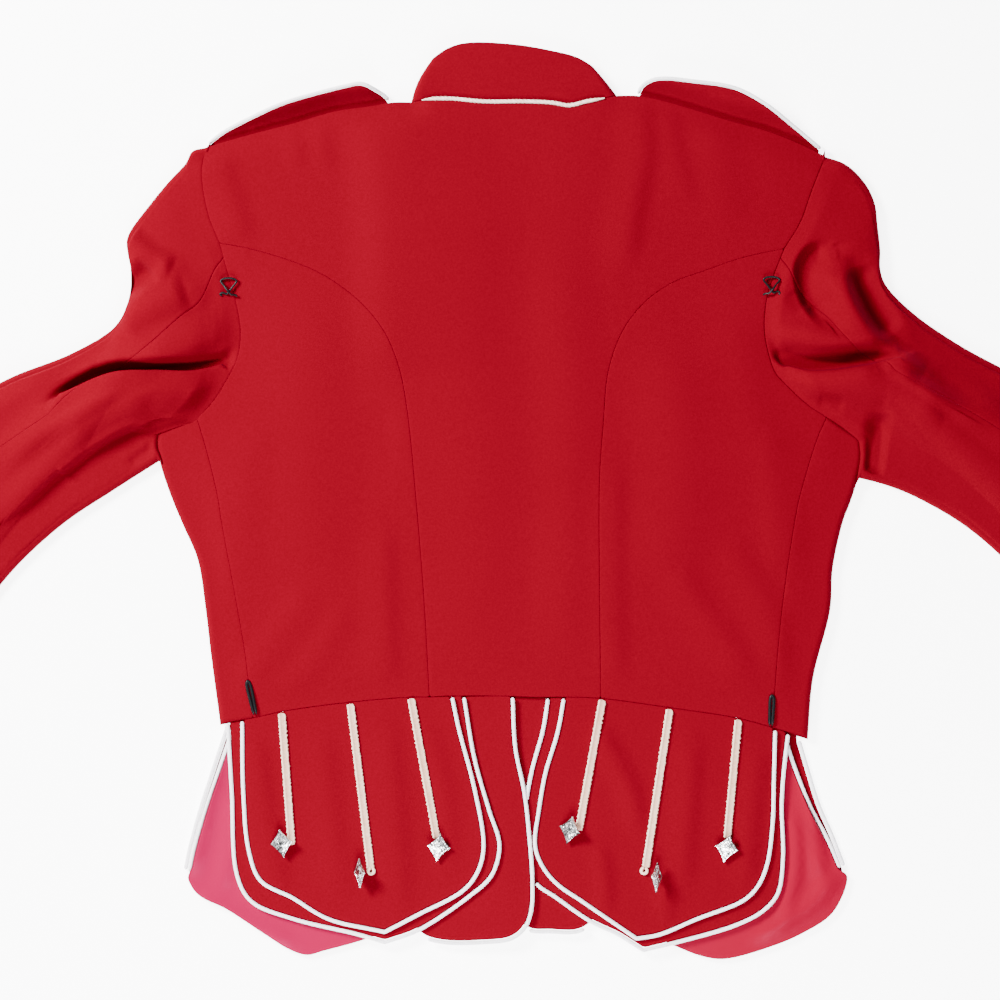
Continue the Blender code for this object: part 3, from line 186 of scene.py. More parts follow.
# Seams of the body, from the collar outwards and down
NECK_SEAM = [(-78, 302), (-62, 304), (-46, 304), (-24, 302), (9, 302), (29, 301), (42, 299), (55, 302),
             (78, 307)]
SHOULDER = {
    "left": [(-78, 302), (-91, 302), (-109, 299), (-136, 295), (-167, 286), (-198, 278), (-233, 268)],
    "right": [(78, 307), (93, 307), (110, 304), (135, 297), (164, 288), (193, 280), (218, 270), (236, 261)],
}
ARMHOLE = {
    "left": [(-233, 268), (-236, 255), (-236, 240), (-231, 215), (-223, 195), (-220, 184), (-216, 170),
             (-210, 148), (-207, 126), (-210, 107), (-219, 89), (-228, 75), (-240, 62)],
    "right": [(236, 261), (226, 236), (217, 211), (205, 191), (202, 184), (198, 174), (192, 155),
              (190, 141), (190, 126), (193, 111), (198, 97), (207, 87), (222, 73), (237, 63)],
}
BELOW_SHOULDERS = [(200, 0), (-200, 0)]
PRINCESS_START = {"left": (-223, 195), "right": (205, 191)}
HIND_SEAM_START = {"left": (-220, 184), "right": (202, 184)}
PRINCESS = {
    "left": [(-223, 195), (-201, 191), (-173, 183), (-148, 173), (-129, 161), (-112, 146), (-97, 126),
             (-87, 101), (-81, 70), (-74, 0), (-68, -76), (-64, -149)],
    "right": [(205, 191), (173, 184), (144, 174), (120, 165), (101, 152), (87, 136), (78, 119),
              (71, 95), (68, 60), (65, 17), (65, -68), (66, -150)],
}
SIDE_SEAM = {
    "left": [(-240, 62), (-234, 42), (-229, 23), (-224, 1), (-222, -13), (-212, -68), (-204, -114),
             (-198, -165)],
    "right": [(237, 63), (230, 47), (222, 22), (216, 0), (213, -15), (205, -68), (200, -114), (196, -172)],
}
SIDE_EDGE = {
    "left": [(-271, 52), (-271, 41), (-267, 23), (-259, 0), (-251, -19), (-240, -45), (-234, -83),
             (-230, -117), (-223, -169)],
    "right": [(263, 45), (264, 33), (261, 17), (255, -2), (250, -15), (242, -51), (240, -83),
              (227, -135), (223, -180)],
}
FRONT_SIDE_SEAM = {
    "left": [(-240, 62), (-224, 20), (-210, -30), (-197, -83), (-186, -125), (-176, -160)],
    "right": [(237, 63), (221, 18), (207, -30), (196, -85), (183, -130), (170, -165)],
}
WAIST = [(-223, -169), (-198, -165), (-176, -160), (-125, -153), (-77, -149), (-64, -149), (-38, -148),
         (-18, -148), (18, -149), (40, -149), (66, -150), (118, -157), (170, -165), (196, -172),
         (223, -180)]
UNDERARM = {
    "left": [(-240, 62), (-256, 58), (-271, 52), (-272, 41), (-269, 30)],
    "right": [(237, 63), (249, 56), (263, 45), (264, 33), (262, 17)],
}
FRONT_NECK = {
    "left": [(-78, 302), (-70, 272), (-45, 249), (-2, 239), (18, 238)],
    "right": [(78, 307), (70, 273), (45, 249), (2, 239), (-18, 238)],
}
FRONT_EDGE_AT_WAIST = {"left": (18, -149), "right": (-18, -148)}

# Collar band: its free edge over the back, and over the two front halves
COLLAR_FREE_BACK = [(-62, 335), (-50, 343), (-36, 347), (-1, 346), (29, 341), (48, 336), (60, 329)]
COLLAR_FREE_FRONT = {
    "left": [(-62, 335), (-57, 312), (-38, 292), (-2, 284)],
    "right": [(60, 329), (56, 310), (38, 292), (2, 284)],
}
COLLAR_CORD = [(-70, 303.5), (-62, 304.5), (-46, 304.5), (-24, 302.5), (9, 302.5), (29, 301.5), (42, 299.5),
               (55, 302.5), (69, 305)]

# Sleeves: upper edge, hind-arm seam, under edge and the fold above it, from the armhole to the hem
SLEEVE_UPPER = {
    "left": [(-233, 268), (-244, 265), (-249, 256), (-262, 242), (-276, 225), (-292, 203), (-294, 195),
             (-291, 180), (-291, 158), (-302, 133), (-335, 112), (-385, 92), (-440, 58), (-490, 8),
             (-530, -52), (-562, -112), (-588, -172), (-612, -228)],
    "right": [(236, 261), (252, 255), (267, 240), (274, 225), (276, 209), (278, 190), (278, 176),
              (282, 164), (302, 143), (338, 118), (386, 92), (440, 58), (490, 8), (530, -52),
              (562, -112), (588, -172), (612, -228)],
}
SLEEVE_HIND = {
    "left": [(-220, 184), (-227, 174), (-235, 155), (-240, 148), (-252, 139), (-271, 122), (-289, 107),
             (-302, 98), (-350, 66), (-405, 28), (-456, -18), (-496, -74), (-528, -134), (-553, -188),
             (-576, -243)],
    "right": [(202, 184), (208, 176), (216, 160), (224, 150), (237, 139), (249, 125), (262, 112),
              (270, 107), (302, 90), (350, 64), (405, 28), (456, -18), (496, -74), (528, -134),
              (553, -188), (576, -243)],
}
SLEEVE_LOWER = {
    "left": [(-269, 30), (-302, 9), (-345, -20), (-388, -62), (-420, -112), (-447, -166), (-470, -222),
             (-492, -278)],
    "right": [(262, 17), (281, 12), (304, 3), (346, -22), (388, -62), (420, -112), (447, -166),
              (470, -222), (492, -278)],
}
SLEEVE_FOLD = {
    "left": [(-272, 53), (-285, 54), (-304, 47), (-335, 24), (-372, -12), (-405, -56), (-436, -108),
             (-466, -166), (-493, -218), (-520, -266)],
    "right": [(264, 46), (278, 50), (294, 47), (330, 26), (370, -12), (405, -56), (436, -108),
              (466, -166), (493, -218), (520, -266)],
}

# Folds: the crest's points, its height, and how far it reaches to its left and right side
SLEEVE_FOLDS = {
    "left": [
        ([(-296, 204), (-284, 191), (-272, 182), (-258, 176)], 5, 14, 18),
        ([(-296, 157), (-286, 167), (-275, 176)], -7, 14, 13),
        ([(-300, 134), (-270, 150), (-248, 158)], 5, 26, 22),
        ([(-214, 125), (-229, 123), (-254, 113), (-292, 96), (-340, 66), (-385, 30)], 6, 17, 28),
        ([(-209, 107), (-220, 101), (-242, 97), (-272, 97), (-304, 95), (-340, 80)], -15, 4, 13),
        ([(-236, 98), (-275, 97.5), (-306, 95.5), (-345, 78)], -10, 3, 8),
        ([(-226, 84), (-254, 82), (-284, 79), (-304, 75), (-345, 48)], 7, 22, 16),
        ([(-236, 68), (-256, 63), (-273, 58), (-288, 60), (-306, 52), (-340, 28), (-385, -14)], 5, 4, 22),
        ([(-271, 42), (-291, 27)], -2, 7, 7),
        ([(-350, 96), (-390, 70), (-440, 30)], 4, 20, 24),
        ([(-440, -10), (-476, -74), (-500, -130)], 5, 26, 28),
    ],
    "right": [
        ([(234, 138), (224, 152), (219.5, 166), (220, 178), (226, 187), (236, 191)], -9, 9, 22),
        ([(247, 176), (250, 160), (256, 146), (266, 131), (282, 115), (310, 97)], 8, 13, 22),
        ([(262, 178), (267, 160), (275, 143), (287, 126)], -7, 15, 17),
        ([(212, 160), (222, 146)], -2, 12, 14),
        ([(200, 128), (240, 122), (270, 114), (310, 88), (350, 60)], 4, 14, 12),
        ([(196, 112), (206, 105), (222, 101), (240, 101), (262, 104), (290, 110)], -14, 18, 5),
        ([(208, 104), (222, 100.5), (240, 100.5), (260, 103)], -4, 6, 3),
        ([(208, 88), (248, 90), (282, 93), (330, 70)], 8, 12, 30),
        ([(230, 76), (250, 73)], -2.5, 8, 12),
        ([(280, 66), (277, 46), (273, 20)], -6, 8, 16),
        ([(340, 78), (385, 46), (430, 10)], 5, 22, 24),
        ([(440, -20), (472, -74), (500, -130)], 5, 28, 26),
    ],
}

# Where a sleeve's fold leans over the hollow beside it: the brow's line, the lean, and its reach
SLEEVE_LEANS = {
    "left": [
        ([(-222, 97), (-242, 92), (-272, 92), (-304, 90), (-345, 73)], (0, 6), 6.5),
        ([(-240, 65), (-256, 60), (-273, 55), (-288, 57), (-306, 49), (-340, 25)], (-1, -4), 6),
    ],
    "right": [
        ([(208, 97), (222, 94), (240, 94), (262, 97), (290, 103)], (0, 3.5), 6),
    ],
}

# Shoulder straps: the far edge that shows and the hidden edge under the shoulder
STRAP_FAR = {
    "left": [(-231, 270), (-220, 278), (-200, 288), (-175, 299), (-152, 306), (-128, 312), (-116, 314),
             (-106, 310), (-98, 305), (-94, 299)],
    "right": [(95, 306), (98, 313), (105, 317), (115, 318), (134, 316), (166, 311), (186, 301),
              (208, 285), (232, 266)],
}
STRAP_HIDDEN = {
    "left": [(-94, 299), (-97, 284), (-112, 274), (-150, 262), (-190, 250), (-229, 241)],
    "right": [(228, 242), (190, 252), (150, 264), (112, 276), (98, 290), (95, 306)],
}

# Skirts: each edge is one smooth run, or two that meet at a point
LOWER_SKIRT = {
    "left": ([(-217, -167), (-214, -220), (-210, -284), (-199, -304), (-168, -317), (-118, -329),
              (-98, -335)],
             [(-98, -335), (-73, -326), (-34, -300), (-17, -284), (-11, -261), (-19, -234), (-30, -195),
              (-38, -148)]),
    "right": ([(26, -149), (22, -174), (14, -203), (9, -232), (9, -262), (16, -289), (32, -301), (58, -319),
               (79, -329), (98, -341)],
              [(98, -341), (119, -336), (168, -322), (189, -311), (200, -298), (204, -272), (203, -230),
               (205, -201), (208, -176)]),
}
UPPER_SKIRT = {
    "left": ([(-206, -164), (-205, -222), (-201, -265), (-192, -288), (-168, -301), (-141, -317),
              (-98, -327)],
             [(-98, -327), (-73, -314), (-38, -295), (-27, -280), (-23, -261), (-30, -218), (-42, -172),
              (-47, -148)]),
    "right": ([(38, -149), (33, -176), (24, -206), (19, -234), (16, -261), (21, -276), (32, -290),
               (52, -304), (71, -317), (93, -332)],
              [(93, -332), (110, -329), (139, -317), (174, -303), (185, -292), (192, -275), (196, -245),
               (197, -211), (198, -173)]),
}
CENTRE_FLAP = {
    "left": ([(-80, -149), (-84, -225), (-84, -290), (-81, -315), (-70, -330), (-54, -335), (-24, -335),
              (-2, -332), (8, -324), (13, -311), (14, -288), (12, -259), (8, -222), (1, -187),
              (-1, -148)],),
    "right": ([(-8, -148), (-6, -220), (-3, -290), (2, -318), (12, -326), (28, -327), (48, -327),
               (60, -320), (70, -300), (73, -260), (74, -200), (74, -151)],),
}
FRONT_SKIRT_SIDE = {
    "left": [(-219, -171), (-229, -201), (-239, -232), (-248, -265), (-251, -280)],
    "right": [(218, -182), (226, -209), (233, -231), (243, -254), (252, -277)],
}
FRONT_SKIRT_HEM = {
    "left": [(-251, -280), (-241, -298), (-218, -310), (-189, -329), (-170, -341), (-157, -345),
             (-145, -342), (-110, -332), (-80, -318), (-62, -298), (-58, -270), (-64, -225),
             (-72, -185), (-78, -150)],
    "right": [(252, -277), (253, -288), (249, -301), (240, -315), (220, -328), (197, -338), (160, -348),
              (143, -346), (122, -338), (84, -320), (64, -298), (59, -270), (64, -225), (70, -185),
              (74, -152)],
}
SIDE_PIPING_PITCH = {"left": 4.6, "right": 9.5}
SIDE_PIPING_CLOSE = 3.4

# Front skirt layers: pitches in from the side piping, inset at the hem, and how far that takes to ease in
FRONT_SKIRT_INSETS = {"outer": (0, 2.0, 20.0), "inner": (1, 1.0, 14.0), "lining": (1, 0.0, 8.0)}
SATIN_SINKS = 0.2

# Trim on the upper skirts: the button's name and side, the braid's top and foot, the button's place,
# how far it leans, towards which side, and how far it is turned
TRIM = [
    ("left_outer", "left", (-176, -161), (-168.5, -261), (-176, -259), 16, 205, 8),
    ("left_middle", "left", (-124, -154), (-108.5, -279), (-117.5, -281), 62, 180, 4),
    ("left_inner", "left", (-78, -150), (-58.5, -256), (-57, -262), 12, 300, -8),
    ("right_inner", "right", (67, -151), (49, -250), (42, -249), 30, 190, -14),
    ("right_middle", "right", (118, -158), (99.8, -278), (108.5, -284), 62, 0, -6),
    ("right_outer", "right", (170, -166), (161.5, -256), (161, -263), 12, 250, -12),
]

# Buttons: their outline, shank and rim, the steps of the cut face, and how soft it is cast
BUTTON_TIPS = {"side": 9.0, "top": 10.4, "foot": 11.6}
BUTTON_SHANK_RADIUS = 1.6
BUTTON_SHANK_LENGTH = 3.4
BUTTON_RIM = 1.3
BUTTON_HOLLOW = 0.84
BUTTON_CORNERS = 48
BUTTON_CUTS = 3
BUTTON_SHANK_SIDES = 16
BUTTON_STEPS = [(0.9, 0.15), (0.35, -0.55), (0.9, 0.35), (0.5, 0.5)]
BUTTON_PEAK = 0.55
BUTTON_CHASING = 0.16
BUTTON_CHASING_SEED = 5
BUTTON_SOFT = 0.16
BUTTON_SOFT_SEGMENTS = 2
BUTTON_SOFT_ANGLE = 38
BUTTON_SMOOTH_ANGLE = 24

# The eyes at the feet of the middle braids
BRAID_LOOPS = {"left_middle": (-108.2, -280.6), "right_middle": (98.6, -280.4)}
LOOP_RADIUS = 2.2
LOOP_CORD = 1.15
LOOP_POINTS = 24
LOOP_FROM = 75
LOOP_TO = -275

# Hooks: where each lies, how its wire bends, and how far it is lifted off the cloth
SHOULDER_HOOK_AT = {"left": (-216, 161), "right": (195, 162)}
SHOULDER_HOOK = [(-5.2, -6.4, 0), (-6.4, -4.6, 0), (-4.4, -3.6, 0), (-1.5, -4.6, 0), (0.4, -2.6, 0),
                 (3.2, 1.2, 0), (6.0, 5.2, 0), (3.6, 7.0, 0), (-3.6, 7.0, 0), (-6.0, 5.2, 0),
                 (-3.2, 1.2, 1.2), (-0.4, -2.6, 2.4), (2.2, -5.2, 1.2), (5.0, -5.4, 0), (6.6, -6.6, 0)]
WAIST_HOOK_TOP = {"left": (-201.5, -138), "right": (195.5, -149)}
WAIST_HOOK_FOOT = {"left": (-196, -162.5), "right": (194.5, -171)}
WAIST_HOOK_HALF_WIDTH = 1.0
SHOULDER_HOOK_LIFT = 1.6
WAIST_HOOK_LIFT = {"left": 0.9, "right": 0.5}

# Soft folds of the back: crest, height, reach to its left and right side
BODY_FOLDS = [
    ([(-226, 262), (-214, 226), (-204, 196)], 2.2, 14, 34),
    ([(-172, 286), (-168, 268), (-166, 250)], 1.0, 9, 4),
    ([(-150, 292), (-147, 270), (-145, 252)], 1.2, 10, 4),
    ([(-104, 298), (-98, 240), (-96, 170), (-94, 90)], 4.6, 95, 34),
    ([(-150, 150), (-160, 90), (-160, 20), (-150, -60)], 2.6, 56, 60),
    ([(-200, 60), (-208, 0), (-206, -60)], 1.6, 26, 34),
    ([(-206, -138), (-182, -104), (-156, -66)], 1.5, 14, 26),
    ([(-176, -146), (-148, -114), (-128, -80)], 1.3, 12, 20),
    ([(-98, -20), (-96, -80), (-94, -140)], 1.8, 10, 26),
    ([(-20, 290), (-30, 150), (-26, 20), (-30, -130)], 1.4, 44, 50),
    ([(36, 200), (44, 60), (40, -120)], 1.6, 34, 34),
    ([(96, 300), (100, 262), (92, 220), (86, 180)], 2.2, 9, 30),
    ([(118, 296), (124, 262), (134, 226)], 1.4, 8, 30),
    ([(150, 286), (156, 246), (160, 210)], 1.2, 26, 34),
    ([(120, 120), (128, 60), (124, 0), (116, -60)], 2.4, 44, 46),
    ([(168, 140), (176, 80), (180, 20)], 1.8, 30, 40),
    ([(78, 30), (77, -60), (80, -140)], 1.6, 9, 24),
    ([(122, -50), (150, -92), (180, -132)], 1.6, 14, 26),
    ([(196, 60), (198, 0), (204, -50)], 1.6, 30, 20),
    ([(160, -30), (190, -80), (204, -130)], 1.2, 18, 22),
]
SKIRT_FOLDS = {
    "left": [
        ([(-196, -180), (-188, -240), (-176, -296)], 2.0, 12, 24),
        ([(-146, -176), (-140, -230), (-132, -300)], 1.6, 14, 22),
        ([(-96, -170), (-90, -240), (-86, -310)], 1.8, 14, 24),
        ([(-66, -170), (-52, -226), (-50, -280)], 1.4, 12, 16),
    ],
    "right": [
        ([(62, -172), (86, -214), (96, -250)], 2.4, 12, 16),
        ([(66, -262), (70, -290), (70, -310)], 1.8, 8, 14),
        ([(112, -276), (116, -296), (116, -318)], 1.6, 8, 14),
        ([(136, -180), (132, -240), (128, -290)], 1.8, 12, 20),
        ([(186, -190), (180, -240), (176, -290)], 1.6, 12, 16),
    ],
}
SATIN_FOLDS = {
    "left": [
        ([(-222, -182), (-234, -236), (-246, -286)], 3.4, 12, 8),
        ([(-214, -226), (-216, -262), (-222, -296)], 2.4, 8, 9),
        ([(-240, -300), (-206, -318), (-168, -336)], 2.6, 12, 10),
    ],
    "right": [
        ([(219, -196), (226, -240), (234, -292)], 3.2, 9, 9),
        ([(212, -236), (214, -276), (204, -318)], 3.0, 9, 8),
        ([(246, -284), (224, -308), (186, -331)], 3.2, 9, 10),
    ],
}

# Colours, as the render takes them
WOOL_DARK = (0.088, 0.0001, 0.0034, 1)
WOOL_LIGHT = (0.120, 0.0001, 0.0060, 1)
# Satin: a painted lit tone for the left of the garment and a painted shaded tone for the right
SATIN_PAINTED_SHADE = (0.185, 0.0001, 0.013, 1)
SATIN_PAINTED_LIGHT = (0.235, 0.0002, 0.034, 1)
PIPING_DARK = (0.66, 0.62, 0.68, 1)
PIPING_LIGHT = (0.90, 0.88, 0.90, 1)
COLLAR_CORD_DARK = (0.44, 0.26, 0.18, 1)
COLLAR_CORD_LIGHT = (0.92, 0.72, 0.62, 1)
BRAID_DARK = (0.38, 0.20, 0.13, 1)
BRAID_LIGHT = (0.80, 0.54, 0.42, 1)
# Silver: painted shade and dark reflections for the cut hollows, then the bright silver
SILVER_PAINTED_SHADE = (0.10, 0.10, 0.10, 1)
SILVER = (0.97, 0.97, 0.97, 1)
BLACK = (0.003, 0.003, 0.004, 1)
FLOOR = (0.92, 0.92, 0.92, 1)

# Each finish's uniform values, by the shader's own names
WOOL_FINISH = {"Roughness": 0.9, "Specular IOR Level": 0.015, "Sheen Weight": 0.02, "Sheen Roughness": 0.5,
               "Sheen Tint": (1.0, 0.1, 0.3, 1)}
SATIN_FINISH = {"Roughness": 0.32, "Specular IOR Level": 0.14, "Specular Tint": (1.0, 0.2, 0.4, 1)}
CORD_FINISH = {"Roughness": 0.75, "Specular IOR Level": 0.3}
BRAID_FINISH = {"Roughness": 0.8, "Specular IOR Level": 0.2}
SILVER_FINISH = {"Metallic": 1.0}
WIRE_FINISH = {"Base Color": BLACK, "Specular IOR Level": 0.15}
FLOOR_FINISH = {"Base Color": FLOOR, "Roughness": 0.9, "Emission Color": FLOOR, "Emission Strength": 6.0}

# Nap: how fine its fibres are, how mottled its tone, and the tones at which the two colours lie
WOOL_NAP = (1500.0, 0.10)
WOOL_TONES = (0.3, 0.7)
PIPING_FIBRES = 1400.0
COLLAR_CORD_FIBRES = 1100.0
CORD_MOTTLE = 0.2
CORD_TONES = (0.3, 0.62)
BRAID_NAP = (1100.0, 0.3)
BRAID_TONES = (0.3, 1.0)
BRAID_EDGE_FROM = 0.45
BRAID_EDGE_TO = 0.8
BRAID_EDGE_PALER = 0.5
TUFTS_PER_FIBRE = 0.4
PATCH_SCALE = 11.0
THREAD_SCALE = 900.0
# Where across the garment, in metres, the satin's painted light turns to painted shade
SATIN_PAINTED_SHADE_RANGE = (-0.2, 0.16)
SILVER_CUT_SCALE = 520.0
SILVER_SOFT_SCALE = 380.0
# Tones at which the silver turns from painted shade to bright
SILVER_TONES = (0.46, 0.72)
SILVER_ROUGHNESS = (0.12, 0.34)
WIRE_WEAR_SCALE = 700.0
WIRE_ROUGHNESS = (0.3, 0.5)

# A mix node's sockets for colours, whose names its other sockets share
MIX_SHARE = 0
MIX_FIRST = 6
MIX_SECOND = 7
MIXED_COLOUR = 2

# Bump of each finish: its depth in metres and its strength
WOOL_BUMP = (0.0004, 0.5)
SATIN_BUMP = (0.00006, 0.35)
CORD_BUMP = (0.0003, 0.5)
BRAID_BUMP = (0.0003, 0.6)
SILVER_BUMP = (0.0005, 0.6)

# Floor, camera and light, in metres
FLOOR_SIZE = 8
FLOOR_Z = -0.0004
FRAME_WIDTH = 0.76
FRAME_CENTRE = (-0.0106, 0.0004)
CAMERA_HEIGHT = 3.0
SENSOR = 36.0
ROOM_COLOUR = (0.96, 0.98, 1.0, 1)
ROOM_LOW = 0.25
ROOM_HIGH = 1.1

# Lamps: name, place, what each points at, size, power and colour
LAMPS = [
    ("key", (-1.45, 0.95, 1.35), (0, 0, 0), 0.7, 213, (1.0, 0.99, 0.97)),
    ("fill", (-0.05, -1.1, 0.9), (0, -0.3, 0), 0.8, 46, (0.98, 0.98, 1.0)),
]

# Fine shapes of the trim
END_ROUND = 1.3
END_LEAST = 0.15
PIPING_STEP = 1.0
PIPING_SIDES = 14
PIPING_STITCH = 3.2
PIPING_PULL = 0.035
PIPING_WEAR = 0.03
PIPING_WEAR_SCALE = 0.09
WIRE_SIDES = 12
STRAP_PIPING_STEP = 1.2
CORD_STEP = 0.6
CORD_SIDES = 16
CORD_STRANDS = 3
CORD_LAY = 9.0
CORD_TAPER = 11.0
CORD_POINT = 0.35
STRAND_HOLLOW = 0.70
STRAND_ROUNDNESS = 0.7
BRAID_STEP = 0.45
BRAID_PITCH = 2.6
BRAID_ACROSS = [-1 + index / 8 for index in range(17)]
BRAID_FOOT = 0.9
BRAID_NOTCH = 0.07
BRAID_NOTCH_GROWTH = 3
BRAID_FRAY = 0.3
BRAID_FRAY_SCALE = 0.55
BRAID_FRAY_SEED = 3.0
BRAID_MIDDLE = 0.72
BRAID_RIDGE_AT = 0.75
BRAID_EDGE_FALL = 0.5
BRAID_EDGE_SHARPNESS = 9
BRAID_KNIT = 0.05
BRAID_KNIT_LEAST = 0.3
BRAID_KNIT_SLANT = 5

# Rows of the side panels and the collar, in shares of their width or length
SIDE_ROWS = 90
PANEL_SHARES = [0, 0.02, 0.05, 0.1, 0.2, 0.35, 0.5, 0.65, 0.8, 0.92, 1]
COLLAR_STEP = 2.5
COLLAR_SHARES = [0, 0.02, 0.05, 0.1, 0.2, 0.32, 0.45, 0.58, 0.7, 0.8, 0.88, 0.94, 0.98, 1]
COLLAR_HALF_ROWS = 24
COLLAR_BULGE = 1.4
COLLAR_END_CLEAR = 0.3
COLLAR_END_BOW = {"left": 2.6, "right": 0.6}


# Lines and outlines in plan

def ease(amount):
    amount = min(max(amount, 0.0), 1.0)
    return amount * amount * (3 - 2 * amount)


def blend(first, second, amount):
    return tuple(a + (b - a) * amount for a, b in zip(first, second))


def spline_point(before, start, end, after, amount):
    """A point of a centripetal Catmull-Rom span, amount of the way from start to end."""
    knot_1 = math.dist(before, start) ** 0.5
    knot_2 = knot_1 + math.dist(start, end) ** 0.5
    knot_3 = knot_2 + math.dist(end, after) ** 0.5
    knot = knot_1 + (knot_2 - knot_1) * amount
    first = blend(before, start, knot / knot_1)
    second = blend(start, end, (knot - knot_1) / (knot_2 - knot_1))
    third = blend(end, after, (knot - knot_2) / (knot_3 - knot_2))
    early = blend(first, second, knot / knot_2)
    late = blend(second, third, (knot - knot_1) / (knot_3 - knot_1))
    return blend(early, late, (knot - knot_1) / (knot_2 - knot_1))


def smooth_line(points, steps=SPLINE_STEPS):
    """A smooth line through every point, with the given steps in each span."""
    ghost_start = blend(points[1], points[0], 2)
    ghost_end = blend(points[-2], points[-1], 2)
    padded = [ghost_start, *points, ghost_end]
    line = []
    for index in range(1, len(padded) - 2):
        span = padded[index - 1:index + 3]
        line += [spline_point(*span, step / steps) for step in range(steps)]
    line.append(tuple(points[-1]))
    return line


def distance_to_segment(point, start, end):
    along = (end[0] - start[0], end[1] - start[1])
    length = along[0] ** 2 + along[1] ** 2
    reach = ((point[0] - start[0]) * along[0] + (point[1] - start[1]) * along[1]) / max(length, TINY)
    return math.dist(point, blend(start, end, min(max(reach, 0.0), 1.0)))


def thin(line, tolerance=LINE_TOLERANCE):
    """The line with only the corners it needs to stay within the tolerance."""
    if len(line) < 3:
        return list(line)
    distances = [distance_to_segment(point, line[0], line[-1]) for point in line[1:-1]]
    furthest = max(range(len(distances)), key=distances.__getitem__) + 1
    if distances[furthest - 1] < tolerance:
        return [line[0], line[-1]]
    return thin(line[:furthest + 1], tolerance)[:-1] + thin(line[furthest:], tolerance)


def line_length(line):
    return sum(math.dist(start, end) for start, end in zip(line, line[1:]))


def point_along(line, share):
    """The point that lies the given share of the line's length from its start."""
    remaining = share * line_length(line)
    for start, end in zip(line, line[1:]):
        step = math.dist(start, end)
        if remaining <= step:
            return blend(start, end, remaining / max(step, TINY))
        remaining -= step
    return line[-1]


def resample(line, shares):
    return [point_along(line, share) for share in shares]


def nearest_index(line, place):
    return min(range(len(line)), key=lambda index: math.dist(line[index], place))


def part_between(line, start, end):
    """The stretch of the line between the points nearest to two places."""
    first = nearest_index(line, start)
    last = nearest_index(line, end)
    if first <= last:
        return line[first:last + 1]
    return line[last:first + 1][::-1]


def shift_sideways(line, distances):
    """The open line moved to its left by a distance, or by one for each point."""
    if not isinstance(distances, list):
        distances = [distances] * len(line)
    moved = []
    for index, point in enumerate(line):
        before = Vector(line[max(index - 1, 0)])
        here = Vector(point)
        after = Vector(line[min(index + 1, len(line) - 1)])
        arriving = (here - before).normalized() if index else (after - here).normalized()
        leaving = (after - here).normalized() if index < len(line) - 1 else arriving
        normal = Vector((-arriving.y, arriving.x)) + Vector((-leaving.y, leaving.x))
        normal.normalize()
        stretch = max(normal.dot(Vector((-arriving.y, arriving.x))), MITRE_LEAST)
        moved.append(tuple(here + normal * (distances[index] / stretch)))
    return moved


def signed_area(outline):
    ends = outline[1:] + outline[:1]
    return sum(a[0] * b[1] - b[0] * a[1] for a, b in zip(outline, ends)) / 2


def tidy_outline(outline):
    """The closed outline, counter-clockwise and without repeated points."""
    kept = [point for index, point in enumerate(outline)
            if math.dist(point, outline[index - 1]) > REPEAT_WITHIN]
    return kept if signed_area(kept) > 0 else kept[::-1]


def inset(outline, distance):
    """The closed outline moved inwards all round."""
    outline = tidy_outline(outline)
    around = [outline[-1], *outline, outline[0]]
    return shift_sideways(around, distance)[1:-1]


def inside(point, outline):
    """Whether a line from the point to the right crosses the outline an odd number of times."""
    hits = 0
    for start, end in zip(outline, outline[1:] + outline[:1]):
        if (start[1] > point[1]) != (end[1] > point[1]):
            crossing = start[0] + (point[1] - start[1]) / (end[1] - start[1]) * (end[0] - start[0])
            hits += crossing > point[0]
    return hits % 2 == 1


# Heights

class Fold:
    """A soft ridge or trough: its crest in plan, its height, and how far it reaches to each side."""

    def __init__(self, crest, height, left_reach, right_reach):
        self.crest = smooth_line(crest, FOLD_STEPS)
        self.height = height
        self.left_reach = left_reach
        self.right_reach = right_reach
        self.length = line_length(self.crest)
        reach = max(left_reach, right_reach)
        self.low = [min(point[axis] for point in self.crest) - reach for axis in (0, 1)]
        self.high = [max(point[axis] for point in self.crest) + reach for axis in (0, 1)]

    def height_at(self, point):
        if not all(self.low[axis] < point[axis] < self.high[axis] for axis in (0, 1)):
            return 0.0
        travelled = 0.0
        nearest = math.inf
        for start, end in zip(self.crest, self.crest[1:]):
            run = (end[0] - start[0], end[1] - start[1])
            away = (point[0] - start[0], point[1] - start[1])
            step = math.hypot(*run)
            held = min(max((away[0] * run[0] + away[1] * run[1]) / step, 0.0), step)
            distance = math.hypot(away[0] - run[0] * held / step, away[1] - run[1] * held / step)
            if distance < nearest:
                nearest = distance
                on_left = run[0] * away[1] - run[1] * away[0] > 0
                share = (travelled + held) / self.length
            travelled += step
        reach = self.left_reach if on_left else self.right_reach
        taper = ease(min(share, 1 - share) * FOLD_END_STEEPNESS + FOLD_END_KEPT)
        return self.height * ease(1 - nearest / reach) * taper


def prepare(rows):
    return [Fold(*row) for row in rows]


def fold_height(point, folds):
    return sum(fold.height_at(point) for fold in folds)


def waist_height(x):
    """The y of the waist seam at x."""
    for start, end in zip(WAIST_LINE, WAIST_LINE[1:]):
        if start[0] <= x <= end[0]:
            return start[1] + (end[1] - start[1]) * (x - start[0]) / (end[0] - start[0])
    return WAIST_LINE[0][1] if x < WAIST_LINE[0][0] else WAIST_LINE[-1][1]


class Layer:
    """A flat piece of cloth: its outline in plan, its thickness and how high its underside lies."""

    def __init__(self, outline, thickness, rest, climbs=False):
        self.outline = tidy_outline(outline)
        self.thickness = thickness
        self.rest = rest
        self.climbs = climbs

    def under(self, point):
        return self.rest + (left_rise(point[0]) if self.climbs else 0.0)

    def top(self, point):
        return self.under(point) + self.thickness


def left_rise(x):
    """How far the left skirts climb towards the middle, where they lap over the right ones."""
    share = (x - LEFT_RISE_FROM) / (LEFT_RISE_TO - LEFT_RISE_FROM)
    return 2 * SKIRT_PITCH * min(max(share, 0.0), 1.0)


# Close sampling

